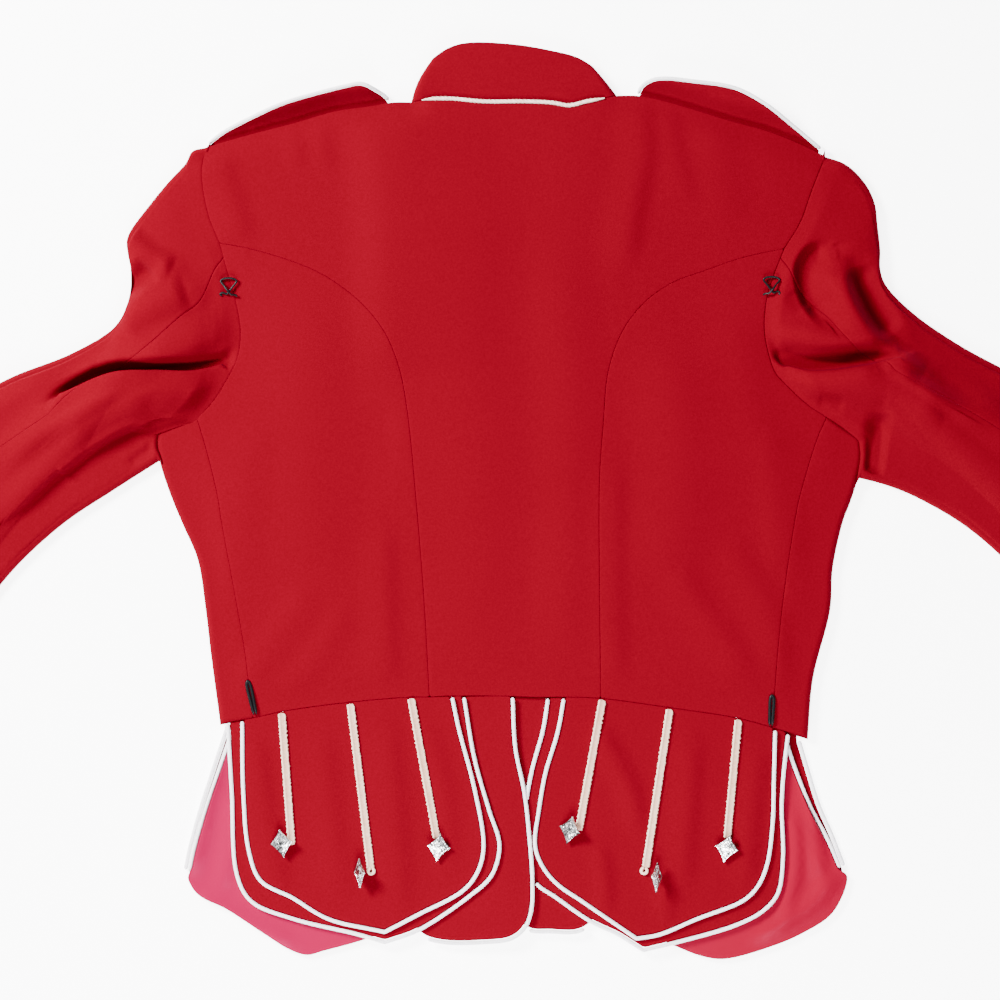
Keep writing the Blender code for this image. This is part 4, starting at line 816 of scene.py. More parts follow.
def evenly(line, step):
    """Points at even steps along a line, with both its ends."""
    count = max(round(line_length(line) / step), 1)
    spacing = line_length(line) / count
    points = [tuple(line[0])]
    carried = 0.0
    for start, end in zip(line, line[1:]):
        length = math.dist(start, end)
        while carried + length >= spacing * len(points) and len(points) < count:
            points.append(blend(start, end, (spacing * len(points) - carried) / length))
        carried += length
    return [*points, tuple(line[-1])]


class Nearness:
    """Quick distances in plan to a line."""

    def __init__(self, line):
        points = evenly(line, NEARNESS_STEP)
        self.tree = KDTree(len(points))
        for index, point in enumerate(points):
            self.tree.insert((*point, 0), index)
        self.tree.balance()

    def distance(self, point):
        return self.tree.find((*point, 0))[2]


class Region:
    """A closed outline with quick distances to it."""

    def __init__(self, outline):
        self.outline = thin(outline + outline[:1], REGION_TOLERANCE)[:-1]
        self.near = Nearness(outline + outline[:1])

    def cover(self, point, margin, ramp):
        """1 inside the outline and its margin, easing to 0 across the ramp outside it."""
        away = self.near.distance(point)
        if away < margin or inside(point, self.outline):
            return 1.0
        return 1 - ease((away - margin) / ramp)


# Cloth meshes

def finish_mesh(name, mesh, material):
    """The mesh as a smooth object in the scene, with its faces outwards."""
    bmesh.ops.recalc_face_normals(mesh, faces=mesh.faces)
    data = bpy.data.meshes.new(name)
    mesh.to_mesh(data)
    mesh.free()
    item = bpy.data.objects.new(name, data)
    data.materials.append(material)
    bpy.context.scene.collection.objects.link(item)
    data.shade_smooth()
    return item


def dress(piece, nodes, slot_name):
    """The piece rides with the garment and stands for these solids."""
    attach(piece, BODY)
    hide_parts(*nodes)
    return piece


def brick_points(outline, cell):
    """Points across the outline's box, each row shifted by half a cell from the one before."""
    xs = [point[0] for point in outline]
    ys = [point[1] for point in outline]
    rows = int((max(ys) - min(ys)) / cell) + 1
    columns = int((max(xs) - min(xs)) / cell) + 2
    return [(min(xs) + (column + 0.5 * (row % 2)) * cell, min(ys) + (row + 0.5) * cell)
            for row in range(rows) for column in range(columns)]


def edge_drop(away):
    """How far the cloth's face falls towards its edge: a rolled corner and a pressed seam."""
    return EDGE_ROLL_DROP * (1 - ease(away / EDGE_ROLL)) + SEAM_PRESS_DROP * (1 - ease(away / SEAM_PRESS))


def plate_places(outline, ring, near, cell):
    """The plate's points in plan: its border, rings close inside it, and a field of bricks."""
    coarse = thin(outline + outline[:1])[:-1]
    around = [ring[-1], *ring, ring[0]]
    places = list(ring)
    for depth in EDGE_RINGS:
        for place in shift_sideways(around, depth)[1:-1]:
            if near.distance(place) > RING_CLEAR * depth and inside(place, coarse):
                places.append(place)
    clear = EDGE_RINGS[-1] + CELL_CLEAR * cell
    for place in brick_points(ring, cell):
        if near.distance(place) > clear and inside(place, coarse):
            places.append(place)
    return places


def plate_mesh(places, border, near, under, thickness):
    """A closed plate: a lower and an upper face over the places, joined round the border."""
    corners, _, faces, *_ = delaunay_2d_cdt([Vector(place) for place in places], [], [border],
                                            FILL_INSIDE, MERGE_WITHIN)
    mesh = bmesh.new()
    low = []
    high = []
    for corner in corners:
        place = (corner.x, corner.y)
        height = under(place)
        drop = edge_drop(near.distance(place)) * thickness / WOOL
        low.append(mesh.verts.new(Vector((*place, height)) * MM))
        high.append(mesh.verts.new(Vector((*place, height + thickness - drop)) * MM))
    for face in faces:
        mesh.faces.new([high[index] for index in face])
        mesh.faces.new([low[index] for index in reversed(face)])
    number = {vert: index for index, vert in enumerate(low)}
    for edge in [edge for edge in mesh.edges if len(edge.link_faces) == 1 and edge.verts[0] in number]:
        first, second = (number[vert] for vert in edge.verts)
        mesh.faces.new([low[first], low[second], high[second], high[first]])
    return mesh


def cloth_plate(name, outline, under, thickness, material, rests_on, slot_name="wool", cell=CLOTH_CELL):
    """Cloth lying over what is under it, with rolled edges, closed all round."""
    outline = tidy_outline(outline)
    ring = evenly(outline + outline[:1], EDGE_STEP)[:-1]
    near = Nearness(ring + ring[:1])
    mesh = plate_mesh(plate_places(outline, ring, near, cell), list(range(len(ring))), near, under, thickness)
    piece = dress(finish_mesh(name, mesh, material), [name], slot_name)
    xs = [place[0] for place in ring]
    ys = [place[1] for place in ring]
    area = abs(signed_area(ring)) * MM * MM
    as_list(rests_on)
    return piece


def grid_area(grid):
    """The area of a surface given as rows of points, in square metres."""
    total = 0.0
    for row, following in zip(grid, grid[1:]):
        for index in range(len(row) - 1):
            first = Vector(following[index + 1]) - Vector(row[index])
            second = Vector(following[index]) - Vector(row[index + 1])
            total += first.cross(second).length / 2
    return total * MM * MM


def folded_sheet(name, outer, inner, material, slot_name="wool"):
    """A wall between two grids of points, closed round its four borders."""
    mesh = bmesh.new()
    rows = len(outer)
    columns = len(outer[0])
    grids = [[[mesh.verts.new(Vector(point) * MM) for point in row] for row in grid]
             for grid in (outer, inner)]
    for grid in grids:
        for row in range(rows - 1):
            for column in range(columns - 1):
                mesh.faces.new([grid[row][column], grid[row][column + 1],
                                grid[row + 1][column + 1], grid[row + 1][column]])
    skin, back = grids
    for row in range(rows - 1):
        for column in (0, columns - 1):
            mesh.faces.new([skin[row][column], skin[row + 1][column],
                            back[row + 1][column], back[row][column]])
    for column in range(columns - 1):
        for row in (0, rows - 1):
            mesh.faces.new([skin[row][column], skin[row][column + 1],
                            back[row][column + 1], back[row][column]])
    piece = dress(finish_mesh(name, mesh, material), [name], slot_name)
    widest = max(line_length(row) for row in outer) * MM
    longest = max(line_length([row[column] for row in outer]) for column in range(columns)) * MM
    area = min(grid_area(outer), widest * longest)
    return piece


# Cords

def sweep(mesh, path, profile_at):
    """A closed skin along a path, rounded at both ends.

    profile_at gives each ring's (across, up) offsets from how far along it is and how far from an end.
    """
    rings = []
    travelled = 0.0
    whole = line_length(path)
    for index, point in enumerate(path):
        if index:
            travelled += math.dist(point, path[index - 1])
        before = Vector(path[max(index - 1, 0)])
        after = Vector(path[min(index + 1, len(path) - 1)])
        heading = (after - before).normalized()
        across = Vector((-heading.y, heading.x, 0)).normalized()
        up = heading.cross(across)
        centre = Vector(point)
        to_end = max(min(travelled, whole - travelled), 0.0)
        short = max(1 - to_end / END_ROUND, 0.0)
        size = max(math.sqrt(1 - short * short), END_LEAST)
        rings.append([mesh.verts.new((centre + across * side * size + up * rise * size) * MM)
                      for side, rise in profile_at(travelled, to_end)])
    for ring, following in zip(rings, rings[1:]):
        for index in range(len(ring)):
            after = (index + 1) % len(ring)
            mesh.faces.new([ring[index], ring[after], following[after], following[index]])
    mesh.faces.new(rings[0])
    mesh.faces.new(rings[-1])


def round_profile(radius, sides):
    angles = [2 * math.pi * index / sides for index in range(sides)]
    return [(radius * math.cos(angle), radius * math.sin(angle)) for angle in angles]


def plain_cord(radius):
    """A profile of one round size from end to end."""
    profile = round_profile(radius, WIRE_SIDES)

    def at(_travelled, _to_end):
        return profile

    return at


def covered_cord(radius):
    """A cord covered in cloth, drawn in a little at each stitch."""
    def at(travelled, _to_end):
        pulled = (1 + math.cos(2 * math.pi * travelled / PIPING_STITCH)) / 2
        worn = noise.noise((travelled * PIPING_WEAR_SCALE, radius, 0))
        return round_profile(radius * (1 - PIPING_PULL * pulled - PIPING_WEAR * worn), PIPING_SIDES)

    return at


def twisted_cord(travelled, to_end):
    """Strands laid round each other, drawn to a point at each end."""
    pointed = CORD_POINT + (1 - CORD_POINT) * ease(to_end / CORD_TAPER)
    profile = []
    for index in range(CORD_SIDES):
        angle = 2 * math.pi * index / CORD_SIDES
        lobe = abs(math.cos(CORD_STRANDS / 2 * (angle - 2 * math.pi * travelled / CORD_LAY)))
        shape = STRAND_HOLLOW + (1 - STRAND_HOLLOW) * lobe ** STRAND_ROUNDNESS
        radius = COLLAR_CORD_RADIUS * pointed * shape
        profile.append((radius * math.cos(angle), radius * math.sin(angle)))
    return profile


def make_cord(name, path, profile_at, material, slot_name, nodes=None):
    """A piece swept along a path, standing for its own solid or for the given ones."""
    mesh = bmesh.new()
    sweep(mesh, path, profile_at)
    return dress(finish_mesh(name, mesh, material), nodes or [name], slot_name)


# Shared seam lines, worked out once so that both sides of a seam match

def split_line(points, place):
    """The smooth line's two stretches, before and after the place."""
    line = smooth_line(points)
    at = nearest_index(line, place)
    return line[:at + 1], line[at:]


SIDES = ("left", "right")
SIDE_SHARES = [index / SIDE_ROWS for index in range(SIDE_ROWS + 1)]
COLLAR_HALF_SHARES = [index / COLLAR_HALF_ROWS for index in range(COLLAR_HALF_ROWS + 1)]
WAIST_LINE = smooth_line(WAIST)
SHOULDER_LINE = {side: smooth_line(SHOULDER[side]) for side in SIDES}
SIDE_LINE = {side: resample(smooth_line(SIDE_SEAM[side]), SIDE_SHARES) for side in SIDES}
EDGE_LINE = {side: resample(smooth_line(SIDE_EDGE[side]), SIDE_SHARES) for side in SIDES}
FRONT_SIDE_LINE = {side: resample(smooth_line(FRONT_SIDE_SEAM[side]), SIDE_SHARES) for side in SIDES}
ARMHOLE_LINE = {side: split_line(ARMHOLE[side], PRINCESS_START[side]) for side in SIDES}
PRINCESS_LINE = {side: smooth_line(PRINCESS[side]) for side in SIDES}
STRAP_OUTLINE = {side: tidy_outline(smooth_line(STRAP_FAR[side]) + smooth_line(STRAP_HIDDEN[side])[1:])
                 for side in SIDES}
STRAP_REGION = {side: Region(STRAP_OUTLINE[side]) for side in SIDES}
SHOULDER_NEAR = {side: Nearness(SHOULDER_LINE[side]) for side in SIDES}
NECK_NEAR = Nearness(smooth_line(NECK_SEAM))
BODY_OUTLINE = tidy_outline(SHOULDER_LINE["left"][::-1] + smooth_line(NECK_SEAM)[1:]
                            + SHOULDER_LINE["right"][1:] + BELOW_SHOULDERS)
BACK_WAVES = prepare(BODY_FOLDS)
SLEEVE_WAVES = {side: (prepare([row for row in SLEEVE_FOLDS[side] if row[1] > 0]),
                       prepare([row for row in SLEEVE_FOLDS[side] if row[1] < 0])) for side in SIDES}
SKIRT_WAVES = {side: prepare(SKIRT_FOLDS[side]) for side in SIDES}
SATIN_WAVES = {side: prepare(SATIN_FOLDS[side]) for side in SIDES}
SLEEVE_BROWS = {side: [(Nearness(smooth_line(line)), lean, reach) for line, lean, reach in SLEEVE_LEANS[side]]
                for side in SIDES}


def waist_between(start, end):
    """The waist seam from one place to another."""
    return part_between(WAIST_LINE, start, end)


# Fronts and back

def strap_lift(point):
    """How far the front is lifted where it lies on a strap."""
    side = "left" if point[0] < 0 else "right"
    return (STRAP_WOOL + GAP) * STRAP_REGION[side].cover(point, STRAP_MARGIN, STRAP_RAMP)


def front_outline(side):
    """The front in plan: shoulder, armhole, side seam, waist and neck."""
    upper, lower = ARMHOLE_LINE[side]
    bottom = [(x, y - FRONT_WAIST_DROP)
              for x, y in waist_between(FRONT_SIDE_LINE[side][-1], FRONT_EDGE_AT_WAIST[side])]
    neck = smooth_line(FRONT_NECK[side])
    return inset(SHOULDER_LINE[side] + upper[1:] + lower[1:] + FRONT_SIDE_LINE[side][1:]
                 + bottom[1:] + neck[::-1][:-1], SEAM_HALF)


def front_under(side):
    """The front's underside; the right front also laps over the left one at the middle."""
    def under(point):
        height = strap_lift(point)
        if side == "right":
            share = (LAP_ENDS - point[0]) / (LAP_ENDS - LAP_FALLS)
            height += (WOOL + GAP) * min(max(share, 0.0), 1.0)
        return height

    return under


def back_under(point):
    """The underside of the back: soft folds, falling onto the front at each shoulder edge."""
    side = "left" if point[0] < 0 else "right"
    to_waist = ease((point[1] - waist_height(point[0])) / WAIST_FADE)
    spot = (point[0] * UNEVEN_SCALE, point[1] * UNEVEN_SCALE, UNEVEN_SEED)
    uneven = BACK_UNEVEN * (1 + noise.noise(spot))
    height = BACK_UNDER + (max(fold_height(point, BACK_WAVES), 0.0) + uneven) * to_waist
    to_shoulder = SHOULDER_NEAR[side].distance(point)
    if to_shoulder < SHOULDER_FALL:
        resting = strap_lift(point) + WOOL + GAP
        height += (1 - ease(to_shoulder / SHOULDER_FALL)) * (resting - height)
    to_neck = NECK_NEAR.distance(point)
    clear = ease((to_shoulder - NECK_DIP_FROM_SHOULDER) / NECK_DIP_RAMP)
    return height - NECK_DIP * ease(1 - to_neck / NECK_DIP_WIDTH) * clear


def back_centre_outline():
    """The centre back in plan, between the two princess seams."""
    left_side = SHOULDER_LINE["left"] + ARMHOLE_LINE["left"][0][1:] + PRINCESS_LINE["left"][1:]
    hem = waist_between(PRINCESS["left"][-1], PRINCESS["right"][-1])
    right_side = (PRINCESS_LINE["right"][::-1][1:] + ARMHOLE_LINE["right"][0][::-1][1:]
                  + SHOULDER_LINE["right"][::-1][1:])
    return inset(left_side + hem[1:] + right_side + smooth_line(NECK_SEAM)[::-1][1:-1], SEAM_HALF)


def back_side_outline(side):
    """The side back in plan, between the princess seam and the side seam."""
    hem = waist_between(SIDE_SEAM[side][-1], PRINCESS[side][-1])
    return inset(ARMHOLE_LINE[side][1] + SIDE_LINE[side][1:] + hem[1:] + PRINCESS_LINE[side][::-1][1:-1],
                 SEAM_HALF)


def make_body(wool):
    """Fronts, centre back, side backs and side panels."""
    for side in SIDES:
        cloth_plate(f"front_{side}", front_outline(side), front_under(side), WOOL, wool, ["floor"])
    cloth_plate("back_centre", back_centre_outline(), back_under, WOOL, wool, ["front_left", "front_right"])
    for side in SIDES:
        cloth_plate(f"back_side_{side}", back_side_outline(side), back_under, WOOL, wool, [f"front_{side}"])
        make_side_panel(side, wool)


def turn_round(edge, inward, top, bottom, reach, wall):
    """Outer and inner points round a folded edge, from the top layer to the bottom one."""
    middle = (top + bottom) / 2
    half = (top - bottom) / 2
    outer = []
    inner = []
    for degrees in NOSE_ANGLES:
        angle = math.radians(degrees)
        depth = reach * (1 - math.cos(angle))
        outer.append((edge[0] + inward[0] * depth, edge[1] + inward[1] * depth,
                      middle + half * math.sin(angle)))
        depth = reach - (reach - wall) * math.cos(angle)
        inner.append((edge[0] + inward[0] * depth, edge[1] + inward[1] * depth,
                      middle + (half - wall) * math.sin(angle)))
    return outer, inner


def side_panel_row(seam, edge, front):
    """Outer and inner points of one row, from the side seam round the edge to the front side seam."""
    inward = Vector((seam[0] - edge[0], seam[1] - edge[1])).normalized()
    start = Vector(seam) - inward * SEAM_HALF
    near = Vector(edge) + inward * EDGE_ROUND
    low = Vector(front) + (Vector(edge) - Vector(front)).normalized() * SEAM_HALF
    length = (near - start).length
    top_outer = []
    top_inner = []
    for share in PANEL_SHARES:
        place = start.lerp(near, share)
        height = back_under(place)
        height += (BACK_UNDER - height) * ease(share)
        top_outer.append((*place, height + WOOL - edge_drop(share * length)))
        top_inner.append((*place, height))
    nose_out, nose_in = turn_round(edge, inward, BACK_TOP, 0.0, EDGE_ROUND, WOOL)
    beneath = [near.lerp(low, share) for share in PANEL_SHARES]
    return ([*top_outer, *nose_out, *((*place, 0) for place in beneath)],
            [*top_inner, *nose_in, *((*place, WOOL) for place in beneath)])


def make_side_panel(side, wool):
    """The panel that folds round the side, from its seam on the back to its seam on the front."""
    rows = [side_panel_row(*points)
            for points in zip(SIDE_LINE[side], EDGE_LINE[side], FRONT_SIDE_LINE[side])]
    outer = [row[0] for row in rows]
    inner = [row[1] for row in rows]
    drop = Vector((0, -2 * SEAM_HALF, 0))
    for grid in (outer, inner):
        grid[0] = [tuple(Vector(point) + drop) for point in grid[0]]
        grid[-1] = [(x, y - (FRONT_WAIST_DROP if z < LOWER_LAYER_BELOW else 0), z) for x, y, z in grid[-1]]
    folded_sheet(f"side_panel_{side}", outer, inner, wool)


# Sleeves

def patch_point(start_curve, first_rail, last_rail, along, across):
    """A point between two rails; the start curve's shape fades out along them."""
    first = point_along(first_rail, along)
    last = point_along(last_rail, along)
    bow = Vector(point_along(start_curve, across)) - Vector(blend(start_curve[0], start_curve[-1], across))
    kept = max(1 - along / ARMHOLE_SHAPE_FADES, 0.0)
    return tuple(Vector(blend(first, last, across)) + bow * kept)


def sleeve_swell(side, along, across):
    """How far the sleeve's upper layer swells up: most a little below its head, least at its edges."""
    at_head = SWELL_AT_HEAD[side]
    grown = at_head * ease(along / HEAD_SWELLS_OVER) + (1 - at_head) * ease(along / SWELL_GROWS_OVER)
    kept = 1 - SWELL_SUNK * ease((along - SWELL_SINKS_FROM) / SWELL_SINKS_OVER)
    return SLEEVE_PUFF * (grown * kept * math.sin(math.pi * across))


def sleeve_top_height(point, side, along, across):
    """The outer surface of the sleeve's upper layer."""
    base = BACK_TOP
    if along < HEAD_FOLLOWS:
        base += (back_under(point) - BACK_UNDER) * (1 - ease(along / HEAD_FOLLOWS))
    pressed = ARMHOLE_PRESS_DROP * (1 - ease(along / ARMHOLE_PRESS_OVER))
    ridges, hollows = SLEEVE_WAVES[side]
    ripple = RIPPLE * noise.noise((point[0] * RIPPLE_SCALE, point[1] * RIPPLE_SCALE, RIPPLE_SEED))
    raised = (fold_height(point, ridges) + ripple) * ease(along / RIDGES_GROW_OVER)
    sunk = fold_height(point, hollows) * ease(along / HOLLOWS_GROW_OVER)
    from_rail = ease(min(across, 1 - across) / FOLDS_FROM_RAIL)
    height = base - pressed + sleeve_swell(side, along, across) + (raised + sunk) * from_rail
    return max(height, SLEEVE_FLOOR)


def leaned(place, side):
    """The place moved by the folds that lean over a hollow there."""
    moved = Vector(place)
    for brow, lean, reach in SLEEVE_BROWS[side]:
        moved += Vector(lean) * ease(1 - brow.distance(place) / reach)
    return tuple(moved)


def sleeve_patches(side, clear):
    """The sleeve in plan, as three stretches side by side from its upper edge to its under edge."""
    sign = 1 if side == "left" else -1
    armhole = smooth_line(ARMHOLE[side])
    top_edge = smooth_line(UNDERARM[side][:3])
    side_edge = smooth_line(UNDERARM[side][2:])
    ring = shift_sideways(armhole + top_edge[1:] + side_edge[1:], -clear * sign)
    hind = nearest_index(ring, HIND_SEAM_START[side])
    corner = len(armhole) + len(top_edge) - 2
    starts = [ring[:hind + 1], ring[hind:corner + 1], ring[corner:]]
    rails = [smooth_line(table[side]) for table in (SLEEVE_UPPER, SLEEVE_HIND, SLEEVE_FOLD, SLEEVE_LOWER)]
    for rail, place in zip(rails, (ring[0], ring[hind], ring[corner], ring[-1])):
        rail[0] = place
    return list(zip(starts, rails, rails[1:]))


def shares_of(line):
    """How far along the line each of its points lies, from 0 to 1."""
    total = line_length(line)
    shares = [0.0]
    for start, end in zip(line, line[1:]):
        shares.append(shares[-1] + math.dist(start, end) / total)
    return shares


def stretch_columns(patches, chosen, step):
    """For the chosen patches, each column's patch, its share of that patch and of the whole ring."""
    lengths = [line_length(patch[0]) for patch in patches]
    columns = []
    for index in chosen:
        count = max(round(lengths[index] / step), 2)
        before = sum(lengths[:index])
        for number in range(1 if columns else 0, count + 1):
            share = number / count
            columns.append((patches[index], share, (before + share * lengths[index]) / sum(lengths)))
    return columns


def place_columns(columns, along):
    """Each column's place in the row that lies the given share along, with its share of the ring."""
    return [(patch_point(*patch, along, share), across) for patch, share, across in columns]


def sleeve_alongs():
    """The rows' shares of the sleeve's length, close together at its head."""
    alongs = [0.0]
    while alongs[-1] < 1:
        step = SLEEVE_HEAD_ROW if alongs[-1] < SLEEVE_HEAD_ENDS else SLEEVE_ROW
        alongs.append(min(alongs[-1] + step, 1.0))
    return alongs


def sleeve_rows(side):
    """For each row, the points of the upper layer above and below the hind seam, and of the lower layer."""
    patches = sleeve_patches(side, SLEEVE_SEAM)
    upper = stretch_columns(patches, [0], SLEEVE_COLUMN)
    lower = stretch_columns(patches, [1, 2], SLEEVE_COLUMN)
    beneath = stretch_columns(patches, [0, 1, 2], BENEATH_COLUMN)[1:-1]
    fore = min(range(len(beneath)), key=lambda index: abs(beneath[index][2] - FORE_SEAM))
    for along in sleeve_alongs():
        low = [place for place, _ in place_columns(beneath, along)]
        yield along, place_columns(upper, along), place_columns(lower, along), low, fore


def tuck_head(first, turned_in, top_count, drop):
    """The sleeve's first row turned under the body: moved in and down, except by its folded edge."""
    rail = first[top_count - 1]
    row = []
    for index, (point, inward) in enumerate(zip(first, turned_in)):
        hidden = ease(math.dist(point[:2], rail[:2]) / TUCK_ENDS) if index < top_count else 0.0
        row.append((*inward[:2], point[2] - drop * hidden))
    return row


def sleeve_layer(points, side, along):
    """Outer and inner points of a stretch of the upper layer, thicker upright where it is steep."""
    heights = [sleeve_top_height(place, side, along, across) for place, across in points]
    outer = []
    inner = []
    for index, (place, _) in enumerate(points):
        before = max(index - 1, 0)
        after = min(index + 1, len(points) - 1)
        run = math.dist(points[before][0], points[after][0])
        slope = (heights[after] - heights[before]) / max(run, LEAST_RUN)
        steep = min(math.sqrt(1 + slope * slope), STEEPEST)
        moved = leaned(place, side)
        outer.append((*moved, heights[index]))
        inner.append((*moved, max(heights[index] - SLEEVE_WOOL * steep, SLEEVE_WOOL)))
    return outer, inner


def pull_in(points, reach):
    """The points from the edge's rounding inwards, with the edge itself and its inward heading."""
    rail, first_across = points[0]
    direction = (Vector(points[HEADING_COLUMN][0]) - Vector(rail)).normalized()
    moved = tuple(Vector(rail) + direction * reach)
    clear = reach + EDGE_ROUND_CLEAR
    kept = [point for point in points[1:] if (Vector(point[0]) - Vector(rail)).dot(direction) > clear]
    missing = len(points) - 1 - len(kept)
    filler = []
    for index in range(missing):
        share = (index + 1) / (missing + 1)
        filler.append((blend(moved, kept[0][0], share), first_across + (kept[0][1] - first_across) * share))
    return rail, tuple(direction), [(moved, first_across), *filler, *kept]


def sleeve_shell(points, side, along, floor):
    """One piece in one row: its upper layer, round the folded edge, and its lower layer."""
    rail, inward, points = pull_in(points, EDGE_ROUND)
    seam_step = (Vector(points[-2][0]) - Vector(points[-1][0])).normalized() * SEAM_HALF
    points[-1] = (tuple(Vector(points[-1][0]) + seam_step), points[-1][1])
    outer, inner = sleeve_layer(points, side, along)
    outer[-1] = (*outer[-1][:2], outer[-1][2] - EDGE_ROLL_DROP)
    nose_out, nose_in = turn_round(rail, inward, outer[0][2], 0.0, EDGE_ROUND, SLEEVE_WOOL)
    low = [tuple(Vector(rail) + Vector(inward) * EDGE_ROUND), *floor]
    return (outer[::-1] + nose_out + [(*place, 0) for place in low],
            inner[::-1] + nose_in + [(*place, SLEEVE_WOOL) for place in low])


def tucked_rows(first_row, turned_in):
    """The sleeve's first row again, turned in under the body to the given places."""
    outer, inner = first_row
    goal = [place for place, _ in turned_in][::-1]
    top_count = len(goal)
    shift = Vector(goal[-1]) - Vector(outer[top_count - 1][:2])
    goal += [tuple(Vector(point[:2]) + shift) for point in outer[top_count:top_count + len(NOSE_ANGLES)]]
    goal += [point[:2] for point in outer[len(goal):]]
    return (tuck_head(outer, goal, top_count, TUCK_DROP),
            tuck_head(inner, goal, top_count, TUCK_INNER_DROP))


def make_sleeve(side, wool):
    """Top sleeve and under sleeve, each folded round one edge and meeting beneath at the fore seam."""
    sign = 1 if side == "left" else -1
    rows = list(sleeve_rows(side))
    seam = [beneath[fore] for _, _, _, beneath, fore in rows]
    top_seam = shift_sideways(seam, -SEAM_HALF * sign)
    under_seam = shift_sideways(seam, SEAM_HALF * sign)
    head = sleeve_patches(side, -TUCK)
    head_upper = place_columns(stretch_columns(head, [0], SLEEVE_COLUMN), 0.0)[:len(rows[0][1])]
    head_lower = place_columns(stretch_columns(head, [1, 2], SLEEVE_COLUMN), 0.0)[:len(rows[0][2])]
    pieces = {"top": [], "under": []}
    for index, (along, upper, lower, beneath, fore) in enumerate(rows):
        pieces["top"].append(sleeve_shell(upper, side, along, [*beneath[:fore], top_seam[index]]))
        turned = [*beneath[:fore:-1], under_seam[index]]
        pieces["under"].append(sleeve_shell(lower[::-1], side, along, turned))
    for name, turned_in in (("top", head_upper), ("under", head_lower[::-1])):
        piece = [tucked_rows(pieces[name][0], turned_in), *pieces[name]]
        folded_sheet(f"sleeve_{name}_{side}", [row[0] for row in piece], [row[1] for row in piece],
                     wool)


# Collar

def collar_row(seam, free, under, raised):
    """Upper and lower points from the seam to the free edge; raised is 1 on the back and 0 beneath."""
    direction = (Vector(free) - Vector(seam)).normalized()
    start = Vector(seam) + direction * SEAM_HALF
    length = (Vector(free) - start).length
    upper = []
    lower = []
    for share in COLLAR_SHARES:
        place = start.lerp(Vector(free), share)
        dip = NECK_DIP * (1 - ease(share / NECK_DIP_SHARE)) * raised
        bulge = COLLAR_BULGE * math.sin(math.pi * share) * raised
        roll = edge_drop((1 - share) * length) + edge_drop(share * length)
        upper.append((*place, under + WOOL - dip + bulge - roll))
        lower.append((*place, under - dip + bulge))
    return upper, lower


def collar_turn_row(low_end, high_end, inward, high, bow):
    """One row round the collar's end, bowed outwards and raised as the back half is."""
    start = low_end + (high_end - low_end).normalized() * COLLAR_END_CLEAR
    row = []
    for share in COLLAR_SHARES:
        arch = math.sin(math.pi * share)
        lift = high * (COLLAR_BULGE * arch - NECK_DIP * (1 - ease(share / NECK_DIP_SHARE)))
        row.append(tuple(start.lerp(high_end, share) + Vector((-inward.x * bow * arch, 0, lift))))
    return row


def collar_turn(seam, free, back_ends, bow):
    """The rows round one end of the collar, from its back half down to its front half."""
    inward = (Vector(back_ends[0]) - Vector(seam)).normalized()
    free_inward = (Vector(back_ends[1]) - Vector(free)).normalized()
    at_seam = turn_round(seam, inward, BACK_TOP, 0.0, EDGE_ROUND, WOOL)
    at_free = turn_round(free, free_inward, BACK_TOP, 0.0, EDGE_ROUND, WOOL)
    rows = []
    for index, degrees in enumerate(NOSE_ANGLES):
        high = max(math.sin(math.radians(degrees)), 0.0)
        rows.append([collar_turn_row(Vector(low[index]), Vector(end[index]), inward, high, bow)
                     for low, end in zip(at_seam, at_free)])
    return rows


def collar_front_lines(side):
    """The seam and the free edge of the collar's front half, point by point from the shoulder."""
    neck = smooth_line(FRONT_NECK[side])
    seam = resample(part_between(neck, FRONT_NECK[side][0], FRONT_NECK[side][3]), COLLAR_HALF_SHARES)
    free = resample(smooth_line(COLLAR_FREE_FRONT[side]), COLLAR_HALF_SHARES)
    return list(zip(seam, free))


def make_collar(wool, cord):
    """The stand collar folded flat, and the cord in its back seam."""
    seam_back = evenly(drop_ends(smooth_line(NECK_SEAM), EDGE_ROUND), COLLAR_STEP)
    free_line = drop_ends(smooth_line(COLLAR_FREE_BACK), EDGE_ROUND)
    free_back = resample(free_line, shares_of(seam_back))
    left, right = (collar_front_lines(side) for side in SIDES)
    rows = [collar_row(seam, free, 0.0, 0)[::-1] for seam, free in left[:0:-1]]
    rows += collar_turn(*left[0], (seam_back[0], free_back[0]), COLLAR_END_BOW["left"])[::-1]
    rows += [collar_row(seam, free, BACK_UNDER, 1) for seam, free in zip(seam_back, free_back)]
    rows += collar_turn(*right[0], (seam_back[-1], free_back[-1]), COLLAR_END_BOW["right"])
    rows += [collar_row(seam, free, 0.0, 0)[::-1] for seam, free in right[1:]]
    folded_sheet("collar", [row[0] for row in rows], [row[1] for row in rows], wool)
    height = BACK_TOP - NECK_DIP + GAP + COLLAR_CORD_RADIUS
    path = [(*point, height) for point in evenly(smooth_line(COLLAR_CORD), CORD_STEP)]
    make_cord("collar_piping", path, twisted_cord, cord, "braid")


# Straps

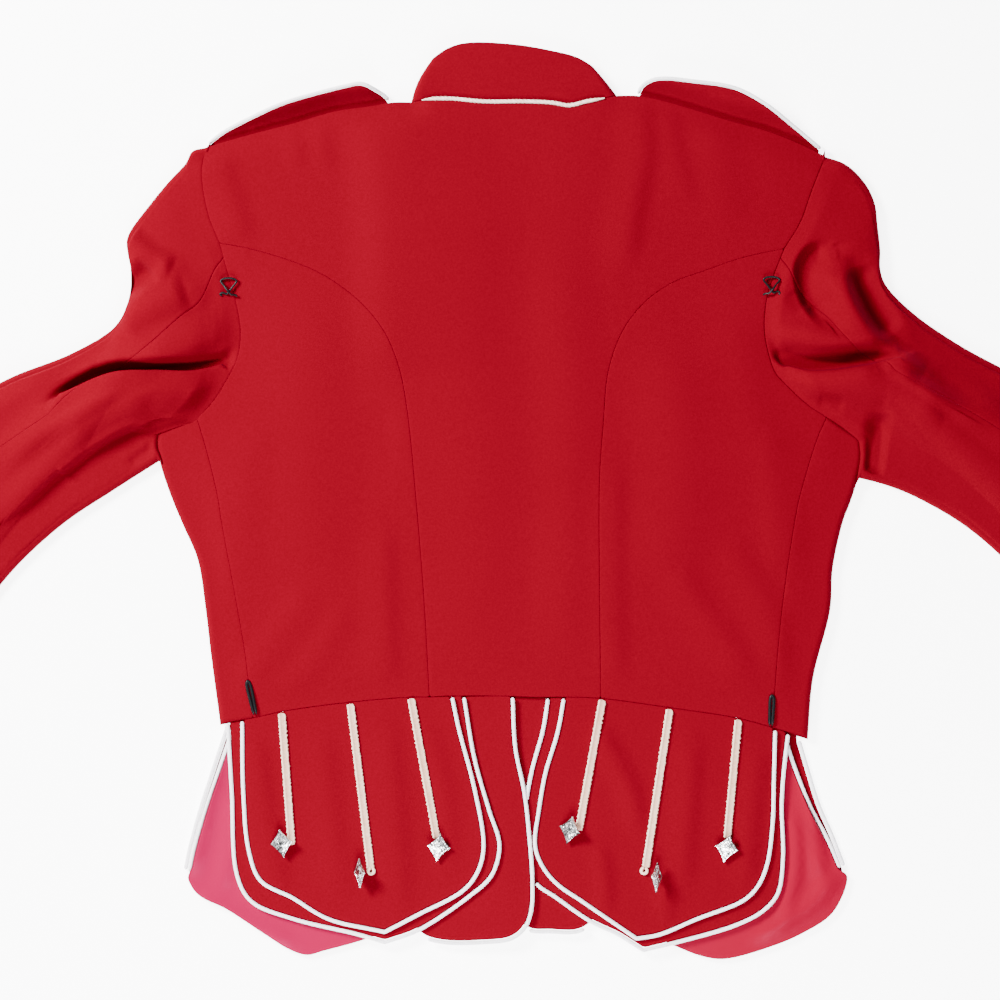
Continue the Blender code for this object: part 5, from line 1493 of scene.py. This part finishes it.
def make_strap(side, wool, cord):
    """The strap, resting on the surface under the shoulder and rising beyond it, and its piping."""
    def under(point):
        beyond = 0.0
        if not inside(point, BODY_OUTLINE):
            beyond = max(SHOULDER_NEAR[side].distance(point) - GAP, 0.0)
        return STRAP_RISE * ease(beyond / STRAP_RISE_REACH)

    far = evenly(smooth_line(STRAP_FAR[side]), STRAP_PIPING_STEP)
    cloth_plate(f"strap_{side}", STRAP_OUTLINE[side], under, STRAP_WOOL, wool, ["floor"],
                cell=STRAP_CELL)
    path = []
    for place, edge in zip(shift_sideways(far, STRAP_PIPING_RADIUS + GAP / 2), far):
        clear = SHOULDER_NEAR[side].distance(place) > STRAP_PIPING_RADIUS + GAP
        if clear and not inside(place, BODY_OUTLINE):
            path.append((*place, under(edge) + STRAP_PIPING_RADIUS))
    make_cord(f"strap_piping_{side}", path, covered_cord(STRAP_PIPING_RADIUS), cord, "piping")


# Skirts

class Drape:
    """The soft waves of a stack of skirts, which grow from the lowest layer to the top one."""

    def __init__(self, folds, full_height):
        self.folds = folds
        self.full_height = full_height

    def lift(self, point, rest):
        wave = max(fold_height(point, self.folds), 0.0)
        return wave * min(rest / self.full_height, 1.0)


def skirt_edge(runs):
    """The edge's centre line, from the waist round to the waist."""
    line = smooth_line(runs[0])
    for run in runs[1:]:
        line += smooth_line(run)[1:]
    return line


def hang_from_waist(line, below):
    """A closed outline: the line, cut a little below the waist seam and closed along it."""
    kept = [point for point in line if point[1] < waist_height(point[0]) - below - WAIST_CUT]
    start = (line[0][0] + (kept[0][0] - line[0][0]) * WAIST_LEAN, waist_height(line[0][0]) - below)
    end = (line[-1][0] + (kept[-1][0] - line[-1][0]) * WAIST_LEAN, waist_height(line[-1][0]) - below)
    steps = max(int(abs(end[0] - start[0]) / WAIST_STEP), 1)
    along_waist = []
    for step in range(1, steps):
        x = end[0] + (start[0] - end[0]) * step / steps
        along_waist.append((x, waist_height(x) - below))
    return [start, *kept, end, *along_waist]


def skirt_outline(runs):
    """The cloth inside a piped edge."""
    return hang_from_waist(shift_sideways(skirt_edge(runs), PIPING_CLEAR), 2 * SEAM_HALF)


def side_pitch(side, share):
    """How far apart the two side pipings lie, the share of the way down to the hem."""
    top = SIDE_PIPING_PITCH[side]
    return top + (SIDE_PIPING_CLOSE - top) * ease(share)


def front_skirt_outline(side, part):
    """The skirt's cloth: inside its side piping, one pitch further in for each layer, and at the hem."""
    layers_in, hem_inset, corner_ease = FRONT_SKIRT_INSETS[part]
    sign = 1 if side == "left" else -1
    edge = smooth_line(FRONT_SKIRT_SIDE[side])
    hem = smooth_line(FRONT_SKIRT_HEM[side])
    line = edge + hem[1:]
    distances = []
    travelled = 0.0
    corner = line_length(edge)
    for index, point in enumerate(line):
        travelled += math.dist(point, line[index - 1]) if index else 0
        at_side = PIPING_RADIUS + PIPING_CLEAR + layers_in * side_pitch(side, travelled / corner)
        distances.append(sign * (at_side + (hem_inset - at_side) * ease((travelled - corner) / corner_ease)))
    return hang_from_waist(shift_sideways(line, distances), FRONT_WAIST_DROP + 2 * SEAM_HALF)


class DrapedLayer(Layer):
    """A skirt layer that also rises and falls with its stack's waves, and with its own folds."""

    def __init__(self, outline, thickness, rest, drape, climbs=False, folds=()):
        super().__init__(outline, thickness, rest, climbs)
        self.drape = drape
        self.folds = folds

    def under(self, point):
        height = super().under(point) + self.drape.lift(point, self.rest)
        if self.folds:
            height += max(fold_height(point, self.folds), -SATIN_SINKS)
        return height


def front_skirt_layers(side, drape):
    """The two wool layers and the lining, each lying on the one before."""
    return {
        "outer": DrapedLayer(front_skirt_outline(side, "outer"), SKIRT_WOOL, 0.0, drape),
        "inner": DrapedLayer(front_skirt_outline(side, "inner"), SKIRT_WOOL, SKIRT_PITCH, drape),
        "lining": DrapedLayer(front_skirt_outline(side, "lining"), SATIN, 2 * SKIRT_PITCH, drape,
                              folds=SATIN_WAVES[side]),
    }


def back_skirt_layers(drapes):
    """The centre flaps and the back skirts, lying on the front skirts in this order."""
    layers = {}
    for side in SIDES:
        rest = FRONT_SKIRTS_TOP
        for name, edges in (("centre_flap", CENTRE_FLAP), ("back_skirt_lower", LOWER_SKIRT),
                            ("back_skirt_upper", UPPER_SKIRT)):
            layers[f"{name}_{side}"] = DrapedLayer(skirt_outline(edges[side]), SKIRT_WOOL, rest, drapes[side],
                                                   side == "left")
            rest += SKIRT_PITCH
    return layers


def piping_along(name, layer, line, cord):
    """A covered cord lying level with a layer's underside, along its edge."""
    path = [(*point, layer.under(point) + PIPING_RADIUS) for point in line]
    make_cord(name, path, covered_cord(PIPING_RADIUS), cord, "piping")


def drop_ends(line, length):
    """The line without a short length at each end."""
    first = length / line_length(line)
    kept = [point for point, share in zip(line, shares_of(line)) if first < share < 1 - first]
    return [point_along(line, first), *kept, point_along(line, 1 - first)]


def below_waist(line):
    """The stretch of the line that lies clear below the waist seam."""
    return [point for point in evenly(line, PIPING_STEP) if point[1] < waist_height(point[0]) - PIPING_START]


# Pipings on the back skirts: the layer, its edge, and each stretch's name ending, start and end
PIPED_STRETCHES = [
    ("back_skirt_lower_left", LOWER_SKIRT["left"], [("", None, None)]),
    ("back_skirt_upper_left", UPPER_SKIRT["left"], [("", None, None)]),
    ("back_skirt_upper_right", UPPER_SKIRT["right"], [("", None, None)]),
    ("back_skirt_lower_right", LOWER_SKIRT["right"],
     [("_top", (26, -149), (9.2, -228)), ("", (15, -288), (208, -176))]),
    ("centre_flap_left", CENTRE_FLAP["left"], [("", (-66, -332), (-1, -148))]),
    ("centre_flap_right", CENTRE_FLAP["right"], [("", (11, -326), (55, -324))]),
]
FRONT_SKIRT_ON = {"outer": "floor", "inner": "front_skirt_outer", "lining": "front_skirt_inner"}
BACK_SKIRT_ON = {
    "centre_flap_left": ["centre_flap_right", "front_skirt_lining_left"],
    "centre_flap_right": ["front_skirt_lining_right"],
    "back_skirt_lower_left": ["centre_flap_left"],
    "back_skirt_lower_right": ["centre_flap_right"],
    "back_skirt_upper_left": ["back_skirt_lower_left"],
    "back_skirt_upper_right": ["back_skirt_lower_right"],
}


def make_front_skirts(side, drape, wool, satin, cord):
    """The front skirt's two wool layers, the lining over them, and the piping at the side of each layer."""
    layers = front_skirt_layers(side, drape)
    for part, layer in layers.items():
        finish, slot_name = (satin, "satin") if part == "lining" else (wool, "wool")
        carrier = FRONT_SKIRT_ON[part]
        cloth_plate(f"front_skirt_{part}_{side}", layer.outline, layer.under, layer.thickness, finish,
                    [carrier if carrier == "floor" else f"{carrier}_{side}"], slot_name, SKIRT_CELL)
    sign = 1 if side == "left" else -1
    edge = smooth_line(FRONT_SKIRT_SIDE[side])
    for layers_in, part in enumerate(("outer", "inner")):
        away = [sign * (PIPING_RADIUS + layers_in * side_pitch(side, share)) for share in shares_of(edge)]
        line = below_waist(shift_sideways(edge, away))
        piping_along(f"front_skirt_piping_{part}_{side}", layers[part], line, cord)


def make_skirts(wool, satin, cord):
    """All skirts from the lowest to the top one, with their pipings; the back layers are returned."""
    drapes = {side: Drape(SKIRT_WAVES[side], FRONT_SKIRTS_TOP + 2 * SKIRT_PITCH) for side in SIDES}
    for side in SIDES:
        make_front_skirts(side, drapes[side], wool, satin, cord)
    layers = back_skirt_layers(drapes)
    for name, layer in layers.items():
        cloth_plate(name, layer.outline, layer.under, layer.thickness, wool, BACK_SKIRT_ON[name],
                    cell=SKIRT_CELL)
    for name, runs, stretches in PIPED_STRETCHES:
        line = skirt_edge(runs)
        for suffix, start, end in stretches:
            stretch = part_between(line, start, end) if start else line
            kept = below_waist(drop_ends(stretch, PIPING_END_CLEAR))
            piping_along(f"{name}_piping{suffix}", layers[name], kept, cord)
    return layers


# Braids, buttons and hooks

def braid_profile(travelled, _to_end):
    """A flat plait: a smooth middle between two raised, frayed edges."""
    beat = 2 * math.pi * travelled / BRAID_PITCH
    half = BRAID_WIDTH / 2
    profile = [(-half * BRAID_FOOT, 0.0)]
    for across in BRAID_ACROSS:
        side = 0 if across < 0 else math.pi
        out = abs(across)
        fray = BRAID_FRAY * noise.noise((travelled * BRAID_FRAY_SCALE, side, BRAID_FRAY_SEED))
        notch = 1 + (BRAID_NOTCH * math.cos(beat + side) + fray) * out ** BRAID_NOTCH_GROWTH
        crown = BRAID_MIDDLE + (1 - BRAID_MIDDLE) * ease(out / BRAID_RIDGE_AT)
        fall = BRAID_EDGE_FALL * out ** BRAID_EDGE_SHARPNESS
        knit = BRAID_KNIT * math.cos(beat + side + BRAID_KNIT_SLANT * out) * (BRAID_KNIT_LEAST + out)
        profile.append((across * half * notch, BRAID_HEIGHT * (crown - fall + knit)))
    profile.append((half * BRAID_FOOT, 0.0))
    return profile


def mark_edges(piece, shares):
    """Tell the braid's finish how near each point is to an edge, from 0 in the middle to 1."""
    mark = piece.data.attributes.new("to_edge", "FLOAT", "POINT")
    mark.data.foreach_set("value", shares)


def make_braid(name, layer, top, foot, cord):
    """A braid lying on a skirt, from the waist down to its button."""
    path = [(*point, layer.top(point) + GAP) for point in evenly([top, foot], BRAID_STEP)]
    braid = make_cord(name, path, braid_profile, cord, "braid")
    mark_edges(braid, [1.0, *(abs(across) for across in BRAID_ACROSS), 1.0] * len(path))


def make_braid_loop(name, layer, centre, cord):
    """The small eye at a braid's foot that holds a button's shank."""
    height = layer.top(centre) + GAP + LOOP_CORD
    path = []
    for index in range(LOOP_POINTS):
        angle = math.radians(LOOP_FROM + (LOOP_TO - LOOP_FROM) * index / (LOOP_POINTS - 1))
        path.append((centre[0] + LOOP_RADIUS * math.cos(angle),
                     centre[1] + LOOP_RADIUS * math.sin(angle), height))
    loop = make_cord(f"{name}_loop", path, plain_cord(LOOP_CORD), cord, "braid", [name])
    mark_edges(loop, [1.0] * len(loop.data.vertices))


def button_reach(angle):
    """How far the button's outline lies from its middle: four points with hollow sides between them."""
    tip = BUTTON_TIPS["top"] if math.sin(angle) > 0 else BUTTON_TIPS["foot"]
    along_x = abs(math.cos(angle)) / BUTTON_TIPS["side"]
    along_y = abs(math.sin(angle)) / tip
    return (along_x ** BUTTON_HOLLOW + along_y ** BUTTON_HOLLOW) ** (-1 / BUTTON_HOLLOW)


def model_button(silver):
    """One button, face up at the origin: a rimmed lozenge with a cut face, on a shank with an eye."""
    bpy.ops.object.select_all(action="DESELECT")
    bpy.ops.mesh.primitive_circle_add(vertices=BUTTON_CORNERS, radius=MM, fill_type="NGON")
    button = bpy.context.object
    for vert in button.data.vertices:
        angle = math.atan2(vert.co.y, vert.co.x)
        reach = button_reach(angle)
        vert.co = Vector((reach * math.cos(angle), reach * math.sin(angle), BUTTON_SHANK_LENGTH)) * MM
    bpy.ops.object.mode_set(mode="EDIT")
    bpy.ops.mesh.select_all(action="SELECT")
    bpy.ops.mesh.extrude_region_move(TRANSFORM_OT_translate={"value": (0, 0, BUTTON_RIM * MM)})
    for width, rise in BUTTON_STEPS:
        bpy.ops.mesh.inset(thickness=width * MM)
        bpy.ops.transform.translate(value=(0, 0, rise * MM))
    bpy.ops.mesh.poke(offset=BUTTON_PEAK * MM)
    bpy.ops.mesh.subdivide(number_cuts=BUTTON_CUTS)
    bpy.ops.transform.vertex_random(offset=BUTTON_CHASING * MM, seed=BUTTON_CHASING_SEED)
    bpy.ops.mesh.select_all(action="SELECT")
    bpy.ops.mesh.normals_make_consistent(inside=False)
    bpy.ops.object.mode_set(mode="OBJECT")
    bpy.ops.mesh.primitive_cylinder_add(vertices=BUTTON_SHANK_SIDES, radius=BUTTON_SHANK_RADIUS * MM,
                                        depth=BUTTON_SHANK_LENGTH * MM,
                                        location=(0, 0, BUTTON_SHANK_LENGTH / 2 * MM))
    bpy.ops.object.transform_apply()
    button.select_set(True)
    bpy.context.view_layer.objects.active = button
    bpy.ops.object.join()
    edges = button.modifiers.new("soft_edges", "BEVEL")
    edges.width = BUTTON_SOFT * MM
    edges.segments = BUTTON_SOFT_SEGMENTS
    edges.limit_method = "ANGLE"
    edges.angle_limit = math.radians(BUTTON_SOFT_ANGLE)
    bpy.ops.object.modifier_apply(modifier=edges.name)
    bpy.ops.object.shade_smooth_by_angle(angle=math.radians(BUTTON_SMOOTH_ANGLE))
    button.data.materials.append(silver)
    return button


def place_button(name, pattern, layer, centre, lean, towards, turn):
    """A copy of the button, turned, leaned and set down on the skirt."""
    heading = math.radians(towards)
    axis = Vector((-math.sin(heading), math.cos(heading), 0))
    turned = Matrix.Rotation(math.radians(lean), 4, axis) @ Matrix.Rotation(math.radians(turn), 4, "Z")
    data = pattern.data.copy()
    data.transform(turned)
    hub = turned @ Vector((0, 0, (BUTTON_SHANK_LENGTH + BUTTON_RIM) * MM))
    lift = (layer.top(centre) + GAP) * MM - min(vert.co.z for vert in data.vertices)
    data.transform(Matrix.Translation((centre[0] * MM - hub.x, centre[1] * MM - hub.y, lift)))
    button = bpy.data.objects.new(name, data)
    bpy.context.scene.collection.objects.link(button)
    dress(button, [name], "silver")


def make_trim(layers, cord, silver):
    """Every braid on the upper skirts, with its button."""
    pattern = model_button(silver)
    for name, side, top, foot, button, lean, towards, turn in TRIM:
        layer = layers[f"back_skirt_upper_{side}"]
        braid_name = f"braid_{side}_{name.split('_')[1]}"
        make_braid(braid_name, layer, top, foot, cord)
        if name in BRAID_LOOPS:
            make_braid_loop(braid_name, layer, BRAID_LOOPS[name], cord)
        place_button(f"button_{name}", pattern, layer, button, lean, towards, turn)
    bpy.data.objects.remove(pattern)


def make_shoulder_hook(side, wire):
    """A bent wire lying on the armhole seam."""
    mirror = 1 if side == "left" else -1
    x, y = SHOULDER_HOOK_AT[side]
    rest = back_under((x, y)) + WOOL + WIRE_RADIUS + SHOULDER_HOOK_LIFT
    bend = smooth_line([(x + mirror * u, y + v, rest + w) for u, v, w in SHOULDER_HOOK])
    make_cord(f"shoulder_hook_{side}", bend, plain_cord(WIRE_RADIUS), wire, "black_wire")


def make_waist_hook(side, wire):
    """A long narrow wire loop lying along the side seam, closed at the top."""
    top = Vector(WAIST_HOOK_TOP[side])
    foot = Vector(WAIST_HOOK_FOOT[side])
    across = Vector((-(top - foot).y, (top - foot).x)).normalized() * WAIST_HOOK_HALF_WIDTH
    crown = (top - foot).normalized() * WAIST_HOOK_HALF_WIDTH
    turn = smooth_line([tuple(place) for place in
                        (foot + across, top + across, top + crown, top - across, foot - across)])
    rest = BACK_TOP + WAIST_HOOK_LIFT[side] + WAIST_WIRE_RADIUS
    make_cord(f"waist_hook_{side}", [(*point, rest) for point in turn], plain_cord(WAIST_WIRE_RADIUS),
              wire, "black_wire")


# Finishes

def add_node(tree, kind, inputs, **settings):
    """A node with its settings, each input a value or the socket that feeds it."""
    made = tree.nodes.new(kind)
    for setting, value in settings.items():
        setattr(made, setting, value)
    for socket, value in inputs.items():
        if isinstance(value, bpy.types.NodeSocket):
            tree.links.new(value, made.inputs[socket])
        else:
            made.inputs[socket].default_value = value
    return made


def new_group(name, inputs, outputs):
    """An empty shader group with its sockets, and the sockets as its own nodes show them."""
    group = bpy.data.node_groups.new(name, "ShaderNodeTree")
    for socket, kind in inputs.items():
        group.interface.new_socket(socket, in_out="INPUT", socket_type=kind)
    for socket, kind in outputs.items():
        group.interface.new_socket(socket, in_out="OUTPUT", socket_type=kind)
    return group, group.nodes.new("NodeGroupInput").outputs, group.nodes.new("NodeGroupOutput").inputs


def make_nap_group():
    """Short felted fibres: a tone for the colour and a height for the bump, both about 0.5."""
    group, given, result = new_group(
        "felted_nap",
        {"Place": "NodeSocketVector", "Fibre Scale": "NodeSocketFloat", "Mottle": "NodeSocketFloat"},
        {"Tone": "NodeSocketFloat", "Height": "NodeSocketFloat"})
    fibres = add_node(group, "ShaderNodeTexNoise", {"Vector": given["Place"], "Scale": given["Fibre Scale"],
                                                   "Detail": 6.0, "Roughness": 0.7, "Distortion": 0.6})
    tuft_scale = add_node(group, "ShaderNodeMath", {0: given["Fibre Scale"], 1: TUFTS_PER_FIBRE},
                          operation="MULTIPLY")
    tufts = add_node(group, "ShaderNodeTexNoise", {"Vector": given["Place"], "Scale": tuft_scale.outputs[0],
                                                  "Detail": 4.0, "Roughness": 0.6})
    patches = add_node(group, "ShaderNodeTexNoise", {"Vector": given["Place"], "Scale": PATCH_SCALE,
                                                    "Detail": 3.0})
    height = add_node(group, "ShaderNodeMath", {0: fibres.outputs["Fac"], 1: tufts.outputs["Fac"]},
                      operation="ADD")
    halved = add_node(group, "ShaderNodeMath", {0: height.outputs[0], 1: 0.5}, operation="MULTIPLY")
    centred = add_node(group, "ShaderNodeMath", {0: patches.outputs["Fac"], 1: 0.5}, operation="SUBTRACT")
    mottled = add_node(group, "ShaderNodeMath", {0: centred.outputs[0], 1: given["Mottle"],
                                                 2: halved.outputs[0]}, operation="MULTIPLY_ADD")
    group.links.new(mottled.outputs[0], result["Tone"])
    group.links.new(halved.outputs[0], result["Height"])
    return group


def start_material(name, finish):
    """A new material with its uniform values set, its node tree, its shader and the place on the object."""
    material = bpy.data.materials.new(name)
    material.use_nodes = True
    tree = material.node_tree
    shader = tree.nodes["Principled BSDF"]
    for socket, value in finish.items():
        shader.inputs[socket].default_value = value
    place = tree.nodes.new("ShaderNodeTexCoord").outputs["Object"]
    return material, tree, shader, place


def connect_bump(tree, shader, height, bump_values):
    distance, strength = bump_values
    bump = add_node(tree, "ShaderNodeBump", {"Height": height, "Distance": distance, "Strength": strength})
    tree.links.new(bump.outputs["Normal"], shader.inputs["Normal"])


def add_nap(tree, nap_group, place, fibres, mottle):
    """The felted nap, placed in a material with its own fineness."""
    return add_node(tree, "ShaderNodeGroup", {"Place": place, "Fibre Scale": fibres, "Mottle": mottle},
                    node_tree=nap_group)


def colour_between(tree, shader, tone, dark, light, tones):
    """Base colour from the dark to the light one, as the tone goes from the first to the last tone."""
    low, high = tones
    ramp = add_node(tree, "ShaderNodeMapRange", {"Value": tone, "From Min": low, "From Max": high})
    mixed = add_node(tree, "ShaderNodeMix", {MIX_SHARE: ramp.outputs["Result"], MIX_FIRST: dark,
                                             MIX_SECOND: light}, data_type="RGBA")
    tree.links.new(mixed.outputs[MIXED_COLOUR], shader.inputs["Base Color"])


def roughness_between(tree, shader, tone, roughness):
    low, high = roughness
    rough = add_node(tree, "ShaderNodeMapRange", {"Value": tone, "To Min": low, "To Max": high})
    tree.links.new(rough.outputs["Result"], shader.inputs["Roughness"])


def wool_material(nap_group):
    material, tree, shader, place = start_material("scarlet_wool", WOOL_FINISH)
    nap = add_nap(tree, nap_group, place, *WOOL_NAP)
    colour_between(tree, shader, nap.outputs["Tone"], WOOL_DARK, WOOL_LIGHT, WOOL_TONES)
    connect_bump(tree, shader, nap.outputs["Height"], WOOL_BUMP)
    return material


def satin_material():
    """Fine diagonal threads; the colour is painted light and sheen, paler and pinker towards the left of the
    garment and darker towards the right.
    """
    material, tree, shader, place = start_material("lining_satin", SATIN_FINISH)
    threads = add_node(tree, "ShaderNodeTexWave", {"Vector": place, "Scale": THREAD_SCALE, "Distortion": 0.4},
                       bands_direction="DIAGONAL")
    split = add_node(tree, "ShaderNodeSeparateXYZ", {"Vector": place})
    # Painted light and shade across the satin, lit on the left and shaded on the right
    colour_between(tree, shader, split.outputs["X"], SATIN_PAINTED_LIGHT, SATIN_PAINTED_SHADE, SATIN_PAINTED_SHADE_RANGE)
    connect_bump(tree, shader, threads.outputs["Fac"], SATIN_BUMP)
    return material


def cord_material(name, nap_group, dark, light, fibres):
    material, tree, shader, place = start_material(name, CORD_FINISH)
    nap = add_nap(tree, nap_group, place, fibres, CORD_MOTTLE)
    colour_between(tree, shader, nap.outputs["Tone"], dark, light, CORD_TONES)
    connect_bump(tree, shader, nap.outputs["Height"], CORD_BUMP)
    return material


def braid_material(nap_group):
    """Beige plait with paler, fluffier edges, told apart by the braid's own mark."""
    material, tree, shader, place = start_material("cream_braid", BRAID_FINISH)
    nap = add_nap(tree, nap_group, place, *BRAID_NAP)
    mark = add_node(tree, "ShaderNodeAttribute", {}, attribute_name="to_edge")
    edge = add_node(tree, "ShaderNodeMapRange", {"Value": mark.outputs["Fac"], "From Min": BRAID_EDGE_FROM,
                                                 "From Max": BRAID_EDGE_TO, "To Min": 0.0,
                                                 "To Max": BRAID_EDGE_PALER})
    tone = add_node(tree, "ShaderNodeMath", {0: nap.outputs["Tone"], 1: edge.outputs["Result"]},
                    operation="ADD")
    colour_between(tree, shader, tone.outputs[0], BRAID_DARK, BRAID_LIGHT, BRAID_TONES)
    connect_bump(tree, shader, nap.outputs["Height"], BRAID_BUMP)
    return material


def silver_material():
    """Cast silver: bright where it stands up, grey in the cut hollows, where the grey is painted shade and
    painted dark reflections.
    """
    material, tree, shader, place = start_material("cast_silver", SILVER_FINISH)
    cuts = add_node(tree, "ShaderNodeTexVoronoi", {"Vector": place, "Scale": SILVER_CUT_SCALE},
                    feature="DISTANCE_TO_EDGE")
    soft = add_node(tree, "ShaderNodeTexNoise", {"Vector": place, "Scale": SILVER_SOFT_SCALE, "Detail": 4.0})
    depth = add_node(tree, "ShaderNodeMath", {0: cuts.outputs["Distance"], 1: soft.outputs["Fac"]},
                     operation="ADD")
    # Painted shade and dark reflections: the hollows of the relief are coloured grey
    colour_between(tree, shader, depth.outputs[0], SILVER_PAINTED_SHADE, SILVER, SILVER_TONES)
    roughness_between(tree, shader, soft.outputs["Fac"], SILVER_ROUGHNESS)
    connect_bump(tree, shader, depth.outputs[0], SILVER_BUMP)
    return material


def wire_material():
    """Black enamelled wire, dulled unevenly."""
    material, tree, shader, place = start_material("black_wire", WIRE_FINISH)
    wear = add_node(tree, "ShaderNodeTexNoise", {"Vector": place, "Scale": WIRE_WEAR_SCALE, "Detail": 3.0})
    roughness_between(tree, shader, wear.outputs["Fac"], WIRE_ROUGHNESS)
    return material


# Stage, light and camera

def make_floor():
    """A wide floor just under the garment, which glows enough to be white."""
    bpy.ops.object.select_all(action="DESELECT")
    bpy.ops.mesh.primitive_plane_add(size=FLOOR_SIZE, location=(0, 0, FLOOR_Z))
    floor = bpy.context.object
    floor.name = "floor"
    floor.data.materials.append(start_material("pale_floor", FLOOR_FINISH)[0])


def add_area_light(name, place, aim, size, power, colour):
    light = bpy.data.lights.new(name, "AREA")
    light.shape = "DISK"
    light.size = size
    light.energy = power
    light.color = colour
    item = bpy.data.objects.new(name, light)
    item.location = place
    item.rotation_euler = (Vector(aim) - Vector(place)).to_track_quat("-Z", "Y").to_euler()
    bpy.context.scene.collection.objects.link(item)


def make_light():
    """A softly lit room, brightest overhead, one strong lamp at the upper left and a weak one below."""
    world = bpy.data.worlds.new("studio")
    bpy.context.scene.world = world
    world.use_nodes = True
    tree = world.node_tree
    heading = tree.nodes.new("ShaderNodeTexCoord").outputs["Generated"]
    split = add_node(tree, "ShaderNodeSeparateXYZ", {"Vector": heading})
    strength = add_node(tree, "ShaderNodeMapRange", {"Value": split.outputs["Z"], "From Min": 0.0,
                                                     "From Max": 1.0, "To Min": ROOM_LOW,
                                                     "To Max": ROOM_HIGH})
    background = tree.nodes["Background"]
    background.inputs["Color"].default_value = ROOM_COLOUR
    tree.links.new(strength.outputs["Result"], background.inputs["Strength"])
    for lamp in LAMPS:
        add_area_light(*lamp)


def make_camera():
    """Straight above, as far off as makes its frame the photo's."""
    data = bpy.data.cameras.new("camera")
    data.sensor_width = SENSOR
    data.lens = SENSOR * CAMERA_HEIGHT / FRAME_WIDTH
    camera = bpy.data.objects.new("camera", data)
    camera.location = (*FRAME_CENTRE, CAMERA_HEIGHT)
    bpy.context.scene.collection.objects.link(camera)
    bpy.context.scene.camera = camera


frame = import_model()
BODY = next(iter(frame["bodies"]))


def main():
    """Every finish, then every piece, then the light and the camera."""
    nap_group = make_nap_group()
    wool = wool_material(nap_group)
    satin = satin_material()
    piping = cord_material("white_piping", nap_group, PIPING_DARK, PIPING_LIGHT, PIPING_FIBRES)
    collar_cord = cord_material("cream_cord", nap_group, COLLAR_CORD_DARK, COLLAR_CORD_LIGHT,
                                COLLAR_CORD_FIBRES)
    braid = braid_material(nap_group)
    silver = silver_material()
    wire = wire_material()
    make_floor()
    make_body(wool)
    make_collar(wool, collar_cord)
    for side in SIDES:
        make_sleeve(side, wool)
        make_strap(side, wool, piping)
    layers = make_skirts(wool, satin, piping)
    make_trim(layers, braid, silver)
    for side in SIDES:
        make_shoulder_hook(side, wire)
        make_waist_hook(side, wire)
    make_light()
    make_camera()


main()
